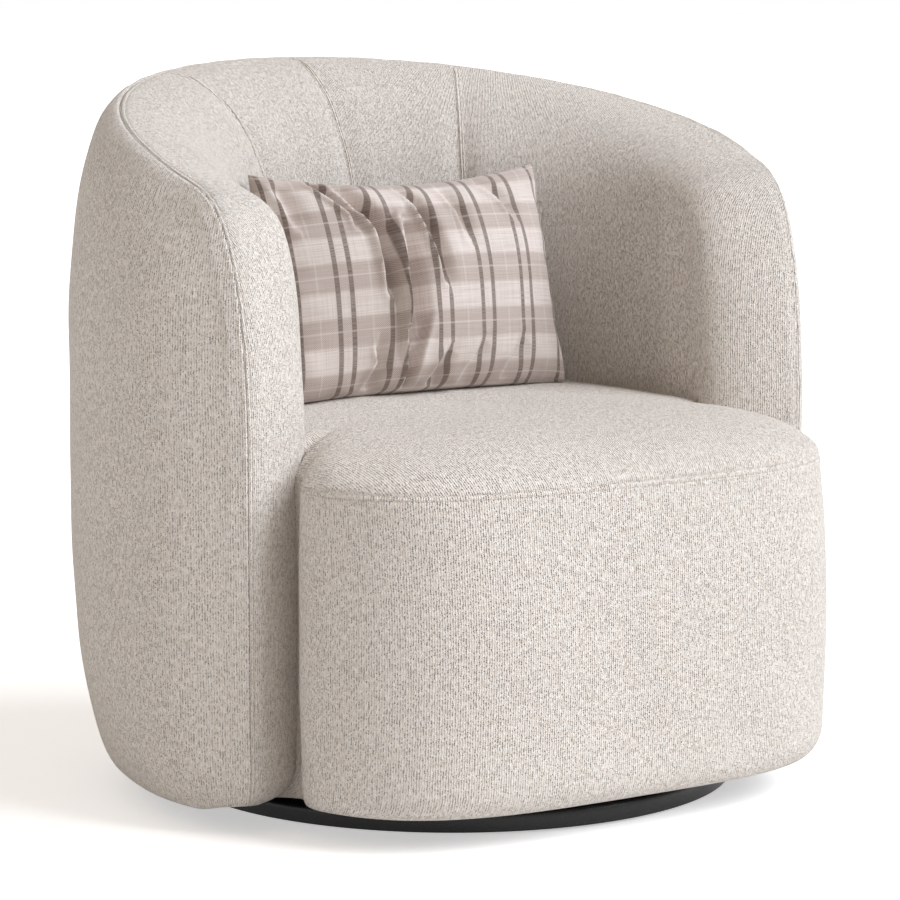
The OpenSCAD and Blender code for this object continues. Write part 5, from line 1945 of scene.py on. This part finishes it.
    def ring_faces(self, rings: int, count: int) -> list:
        """Lists the faces between the rings, and those that close both ends with a point.

        Args:
            rings: How many rings there are.
            count: How many points each has.

        Returns:
            The faces.
        """
        faces = []
        here = np.arange(count)
        after = np.roll(here, -1)
        for first in range(0, (rings - 1) * count, count):
            quads = np.stack([here, after, after + count, here + count], axis=-1) + first
            faces.extend(quads.tolist())
        last = (rings - 1) * count
        tip = rings * count
        faces.extend([[a + last, b + last, tip] for a, b in zip(here, after)])
        faces.extend([[b, a, tip + 1] for a, b in zip(here, after)])
        return faces

    def top_cloth(self, grid: Array, below: int, tip: Array) -> Array:
        """Spreads the top's cloth map from its tip by the length over the crown.

        Args:
            grid: The smooth points, as rings by points by 3.
            below: How many rings lie below the cover.
            tip: The top's middle.

        Returns:
            Each point's place on the flat cloth.
        """
        inward = np.concatenate([grid[below:], np.broadcast_to(tip, (1,) + grid.shape[1:])])
        steps = np.linalg.norm(np.diff(inward, axis=0), axis=-1)
        over_crown = np.cumsum(steps[::-1], axis=0)[::-1]
        arc = np.concatenate([np.repeat(steps.sum(0)[None], below, axis=0), over_crown])
        flat = grid[..., :2] - tip[:2]
        return flat * (arc / np.linalg.norm(flat, axis=-1))[..., None]

    def sew(self) -> None:
        """Sews the row of stitches on the border, just below its seam."""
        away = self.seams.stitch_away
        z = self.seam_h - away
        row = self.border_row(self.face_inset(z), 0.0, z)[2:-2]
        normals = unit(np.cross(np.gradient(row, axis=0), np.array([0.0, 0.0, 1.0])))
        rise = self.seams.rise(row, np.full(len(row), away))
        sunk = row + normals * (rise - float(self.seams.pull(away, True)))[:, None]
        points, faces = self.stitches.build(sunk, normals)
        place(make_piece("seat_topstitches", points, faces, self.thread), Body.CHAIR, Slot.LINEN)

    def build(self) -> None:
        """Builds the seat's pads and stitches."""
        self.border_pad()
        self.top_pad()
        self.sew()


# The pillow


@dataclass(frozen=True)
class Fold:
    """A crease in the pillow's cloth, along points given as shares of its half sizes.

    It falls steeply on its left and gently on its right, with a low ridge past the steep side. A
    depth below 0 makes it a ridge. Depth and width are millimetres, the slopes shares of the width.
    """

    line: tuple[Pair, ...]
    depth: float
    width: float
    steep: float = 0.62
    gentle: float = 1.45
    ridge: float = 0.3
    ridge_away: float = 0.93
    end_share: float = 0.25
    end_power: float = 0.7

    def height(self, a: Array, b: Array, half_w: float, half_h: float) -> Array:
        """Works out how far the fold lowers the cloth, in millimetres.

        Args:
            a: Places across the pillow, from -1 to 1.
            b: Places up it, from -1 to 1.
            half_w: Half the pillow's width in millimetres.
            half_h: Half its height.

        Returns:
            The depths.
        """
        scale = np.array([half_w, half_h])
        points = np.stack([a.ravel(), b.ravel()], axis=-1) * scale
        line = np.array(self.line) * scale
        along = lengths_along(line)
        best = np.full(len(points), np.inf)
        where, side = np.zeros(len(points)), np.zeros(len(points))
        for start, end, before, after in zip(line[:-1], line[1:], along[:-1], along[1:]):
            run = end - start
            share = limit(((points - start) @ run) / (run @ run))
            away = np.linalg.norm(points - start - share[:, None] * run, axis=1)
            closer = away < best
            offset = points[closer] - start
            best[closer] = away[closer]
            side[closer] = np.sign(run[0] * offset[:, 1] - run[1] * offset[:, 0])
            where[closer] = mix(before, after, share[closer]) / along[-1]
        fade = mix(self.end_share, 1.0, np.sin(math.pi * where) ** self.end_power)
        right = best * side / self.width
        slope = np.where(right > 0.0, self.gentle, self.steep)
        swell = bump_at(right, slope) - self.ridge * bump_at(right + self.ridge_away, self.steep)
        return (self.depth * fade * swell).reshape(a.shape)


@dataclass
class LumbarPillow:
    """The filled plaid pillow with a knife-edge seam, pointed corners and pulled folds."""

    plaid: Material
    fill: float = 0.7
    width: float = 356.0
    height: float = 240.0
    thick: float = 124.0
    lean: float = 15.0
    centre: Triple = (-2.0, 78.06, 507.95)
    # How far the sides, the bottom and the top draw in between the corners, as shares
    draw: float = 0.05
    bottom_draw: float = 0.03
    top_sag: float = 0.11
    # The lower this power, the fuller the pillow stays towards its seam
    fullness: float = 0.42
    pucker_height: float = 2.2
    pucker_length: float = 34.0
    pucker_reach: float = 0.12
    wave_height: float = 2.0
    wave_length: float = 90.0
    # Over what share beside the seam the puckers and the folds start
    pucker_start: float = 0.02
    fold_start: float = 0.1
    pucker_seed: int = 11
    wave_seeds: tuple[int, int] = (12, 13)
    crease: float = 80.0
    columns: int = 220
    rows: int = 150
    # The photographed creases of its front, each from its upper end down
    folds: tuple[Fold, ...] = (
        Fold(((-0.93, 0.93), (-0.87, 0.75), (-0.85, 0.5)), 10.0, 8.0),
        Fold(((-0.68, 0.95), (-0.59, 0.77), (-0.51, 0.61), (-0.5, 0.46)), 22.0, 6.5),
        Fold(((-0.52, 0.9), (-0.41, 0.6), (-0.38, 0.43), (-0.37, 0.13), (-0.36, -0.14)), 33.0, 8.5),
        Fold(((-0.24, 0.56), (-0.28, 0.35), (-0.3, 0.07), (-0.3, -0.22), (-0.3, -0.68)), -13.0, 5.0),
        Fold(((-0.17, 0.5), (-0.2, 0.25), (-0.22, -0.12), (-0.21, -0.62)), 33.0, 11.0),
        Fold(((-0.12, 0.88), (-0.05, 0.68), (-0.01, 0.42), (0.02, 0.19), (0.04, -0.08)), 24.0, 7.0),
        Fold(((0.17, 0.86), (0.24, 0.58), (0.27, 0.28)), 12.0, 7.0),
        Fold(((0.45, 0.94), (0.58, 0.74), (0.67, 0.5)), 14.0, 8.0),
        Fold(((-0.45, -0.6), (-0.43, -0.77), (-0.5, -0.96)), 18.0, 6.5),
        Fold(((-0.28, -0.5), (-0.23, -0.8), (-0.22, -0.98)), 18.0, 6.0),
        Fold(((-0.09, -0.4), (-0.17, -0.72), (-0.2, -0.97)), -10.0, 5.0),
        Fold(((0.04, -0.7), (-0.06, -0.97)), 15.0, 7.0),
        Fold(((0.31, -0.64), (0.17, -0.96)), 8.0, 9.0),
        Fold(((0.62, -0.62), (0.48, -0.96)), 8.0, 10.0),
    )

    def side(self, front: bool, folded: bool) -> Array:
        """Lays one face in the pillow's own upright position.

        Args:
            front: True for the front.
            folded: True to lay its folds in.

        Returns:
            The points, as rows by columns by 3.
        """
        across, up = [np.sin(math.pi / 2.0 * np.linspace(-1.0, 1.0, n)) for n in (self.columns, self.rows)]
        a, b = np.meshgrid(across, up)
        x = self.width / 2.0 * a * (1.0 - self.draw * (1.0 - b**2))
        sag = np.where(b > 0.0, self.draw + self.top_sag * b**2, self.bottom_draw)
        z = self.height / 2.0 * b * (1.0 - sag * (1.0 - a**2))
        points = np.stack([x, np.zeros_like(x), z], axis=-1)
        open_share = np.maximum(0.0, (1.0 - a**2) * (1.0 - b**2))
        swell = self.thick / 2.0 * open_share**self.fullness
        beside = np.minimum(1.0 - np.abs(a), 1.0 - np.abs(b))
        rim = np.exp(-beside / self.pucker_reach) * ease(beside / self.pucker_start)
        pucker = self.pucker_height * waviness(points, self.pucker_length, self.pucker_seed) * rim
        front_seed, back_seed = self.wave_seeds
        slow = self.wave_height * waviness(points, self.wave_length, front_seed if front else back_seed)
        lowered = np.zeros_like(a)
        if front and folded:
            for fold in self.folds:
                lowered += fold.height(a, b, self.width / 2.0, self.height / 2.0)
        depth = swell + (slow - lowered) * ease(open_share / self.fold_start) + pucker
        points[..., 1] = (-1.0 if front else 1.0) * np.maximum(depth, 0.0)
        return points

    def cloth_of(self, grid: Array) -> Array:
        """Measures a face's cloth map over its surface, from its middle.

        Args:
            grid: The face's points.

        Returns:
            Each point's place on the flat cloth.
        """
        run, climb = lengths_along(grid, axis=1), lengths_along(grid, axis=0)
        middle_column, middle_row = self.columns // 2, self.rows // 2
        run = run - run[:, middle_column : middle_column + 1]
        climb = climb - climb[middle_row : middle_row + 1]
        return np.stack([run, climb], axis=-1).reshape(-1, 2)

    def build(self) -> None:
        """Builds the pillow as one closed form, whose two faces share the points of the seam."""
        front, back = self.side(True, True), self.side(False, True)
        cloth = np.concatenate([self.cloth_of(self.side(True, False)), self.cloth_of(back)])
        count = self.rows * self.columns
        loop = edge_loop(self.rows, self.columns)
        shared = np.arange(2 * count)
        shared[count + loop] = loop
        back_faces = shared[grid_quads(self.rows, self.columns, count, True)]
        faces = np.concatenate([grid_quads(self.rows, self.columns, 0, False), back_faces])
        used = np.unique(faces)
        renumber = np.full(2 * count, -1)
        renumber[used] = np.arange(len(used))
        points = np.concatenate([front.reshape(-1, 3), back.reshape(-1, 3)])[used]
        angle = math.radians(-self.lean)
        turn = np.array([[1.0, 0.0, 0.0],
                         [0.0, math.cos(angle), -math.sin(angle)],
                         [0.0, math.sin(angle), math.cos(angle)]])
        placed = points @ turn.T + np.array(self.centre)
        pillow = make_piece("lumbar_pillow", placed, renumber[faces].tolist(), self.plaid, cloth[used],
                            self.crease)
        place(pillow, Body.PILLOW, Slot.PLAID, ["pillow_front_cover", "pillow_back_cover", "pillow_insert"])


# The rest of the chair, and the studio


@dataclass
class CadFinishes:
    """Gives each carried-over CAD node the finish of its slot, and the deck and tack strip a black coat that
    paints the shade in the gaps above the base.
    """

    nodes: dict[str, Object]
    by_slot: dict[Slot, tuple[str, ...]] = field(default_factory=lambda: {
        Slot.BLACK_STEEL: ("base_pan",),
        Slot.FIBREBOARD: ("base_core", "outer_liner", "inner_liner"),
        Slot.RUBBER: ("floor_ring",),
        Slot.ZINC_STEEL: ("base_screws", "swivel_lower_plate", "lower_plate_bolts", "pivot_rivet",
                          "swivel_upper_plate", "upper_plate_bolts", "tee_nuts", "frame_screws"),
        Slot.NYLON: ("pivot_washer", "ball_cage"),
        Slot.BEARING_STEEL: ("bearing_balls",),
        Slot.PLYWOOD: ("seat_side_rails", "seat_back_rail", "seat_fascia",
                       "corner_blocks", "wall_bottom_rail", "wall_ribs", "arm_posts", "wall_top_rail"),
        Slot.DUST_CLOTH: ("dust_cover",),
        Slot.WEBBING: ("webbing_lengthwise", "webbing_crosswise"),
    })
    # The deck and tack strip are coloured black as painted shade for the gaps above the base
    gap_shade_parts: tuple[str, ...] = ("bottom_deck", "tack_strip")

    def put(self, finish: Finish, names: Sequence[str]) -> None:
        """Puts one finish on some nodes.

        Args:
            finish: The finish.
            names: Their names.
        """
        material = finish.make()
        for name in names:
            mesh = self.nodes[name].data
            mesh.materials.clear()
            mesh.materials.append(material)
            LOG.info("%s: %s", name, material.name)

    def apply(self) -> None:
        """Puts all the finishes on."""
        for slot, names in self.by_slot.items():
            self.put(CAD_FINISHES[slot], names)
        # Painted shade: the black deck and tack strip for the gaps above the base
        self.put(GAP_SHADE_DECK, self.gap_shade_parts)


@dataclass(frozen=True)
class Sun:
    """A broad light from far away, with angles in degrees. Its spread softens the shadows."""

    name: str
    azimuth: float
    elevation: float
    strength: float
    spread: float


def towards(azimuth: float, elevation: float) -> Array:
    """Returns the unit direction from the chair towards this azimuth and elevation, in degrees."""
    a, e = math.radians(azimuth), math.radians(elevation)
    return np.array([math.sin(a) * math.cos(e), -math.cos(a) * math.cos(e), math.sin(e)])


@dataclass
class Studio:
    """The floor, the light and the camera. The camera stands where the photograph's did."""

    azimuth: float = -34.0
    elevation: float = 7.7
    distance: float = 3.748
    target: Triple = (0.0, 0.0, 0.36)
    lens: float = 144.45
    shift: Pair = (-3.0 / 900.0, -21.2 / 900.0)
    sight: float = 200.0
    suns: tuple[Sun, ...] = (
        Sun("window_light", 40.0, 40.0, 3.1, 46.0),
        Sun("side_light", -125.0, 20.0, 0.36, 60.0),
    )
    # The suns are a little cool and the sky warm, so that shaded cloth looks warmer, as photographed
    sun_colour: Triple = (0.94, 0.995, 1.075)
    sky_colour: Triple = (1.0, 0.865, 0.73)
    sky_strength: float = 0.38
    floor_colour: str = "#f4f3f1"
    floor_lift: float = 0.5
    floor_half: float = 30000.0

    def aim(self, thing: Object, direction: Array) -> None:
        """Adds a camera or lamp to the scene, and turns it to look at the chair.

        Args:
            thing: The camera or lamp.
            direction: The direction from the chair to it.
        """
        bpy.context.scene.collection.objects.link(thing)
        thing.rotation_mode = "QUATERNION"
        thing.rotation_quaternion = Vector(-direction).to_track_quat("-Z", "Y")

    def add_camera(self) -> None:
        """Adds the camera and makes it the scene's."""
        data = bpy.data.cameras.new("photo_camera")
        data.lens = self.lens
        data.shift_x, data.shift_y = self.shift
        data.clip_end = self.sight
        camera = bpy.data.objects.new("photo_camera", data)
        back = towards(self.azimuth, self.elevation)
        self.aim(camera, back)
        camera.location = np.array(self.target) + back * self.distance
        bpy.context.scene.camera = camera

    def add_sun(self, sun: Sun) -> None:
        """Adds one of the lights."""
        data = bpy.data.lights.new(sun.name, "SUN")
        data.energy, data.angle, data.color = sun.strength, math.radians(sun.spread), self.sun_colour
        self.aim(bpy.data.objects.new(sun.name, data), towards(sun.azimuth, sun.elevation))

    def add_sky(self) -> None:
        """Adds a plain warm sky that the camera sees as white."""
        world = bpy.data.worlds.new("studio_sky")
        bpy.context.scene.world = world
        add = node_adder(world)
        seen = self.seen_directly(add)
        warm = self.sky_colour + (1.0,)
        light = add("Background", {"Color": warm, "Strength": self.sky_strength})
        white = add("Background", {"Color": (1.0, 1.0, 1.0, 1.0), "Strength": 1.0})
        both = add("MixShader", links={0: seen, 1: light, 2: white})
        add("OutputWorld", links={"Surface": both})

    def seen_directly(self, add: AddNode) -> Node:
        """Tells what the camera, or a gloss or clear material, sees from the rest.

        Args:
            add: Adds a node.

        Returns:
            A node that gives 1 for it and 0 for the rest.
        """
        path = add("LightPath")
        gloss = add("Math", {"operation": "MAXIMUM"},
                    {0: path.outputs["Is Camera Ray"], 1: path.outputs["Is Glossy Ray"]})
        return add("Math", {"operation": "MAXIMUM"}, {0: gloss, 1: path.outputs["Is Transmission Ray"]})

    def add_floor(self) -> None:
        """Adds a plain pale floor that stays white in the picture except in the chair's shadow."""
        ends = [(-1.0, -1.0), (1.0, -1.0), (1.0, 1.0), (-1.0, 1.0)]
        corners = self.floor_half * np.array([[x, y, 0.0] for x, y in ends])
        material = bpy.data.materials.new("pale_floor_paint")
        add = node_adder(material)
        matt = add("BsdfDiffuse", {"Color": linear(self.floor_colour)})
        lift = add("Emission", {"Color": (1.0, 1.0, 1.0, 1.0), "Strength": self.floor_lift})
        raised = add("AddShader", links={0: matt, 1: lift})
        both = add("MixShader", links={0: self.seen_directly(add), 1: matt, 2: raised})
        add("OutputMaterial", links={"Surface": both})
        floor = make_piece("studio_floor", corners, [[0, 1, 2, 3]], material)

    def build(self) -> None:
        """Builds the studio."""
        bpy.context.scene.view_settings.view_transform = "Standard"
        self.add_camera()
        for sun in self.suns:
            self.add_sun(sun)
        self.add_sky()
        self.add_floor()


def main() -> None:
    """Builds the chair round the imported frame, in order."""
    logging.basicConfig(level=logging.INFO, format="%(message)s")
    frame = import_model()
    Studio().build()
    linen, thread = LINEN.make(), THREAD.make()
    shape = WallShape()
    PaddedWall(shape, linen, thread).build()
    DrumSeat(shape, linen, thread).build()
    LumbarPillow(PLAID.make()).build()
    CadFinishes(frame["nodes"]).apply()
    bpy.context.view_layer.update()


if __name__ == "__main__":
    main()
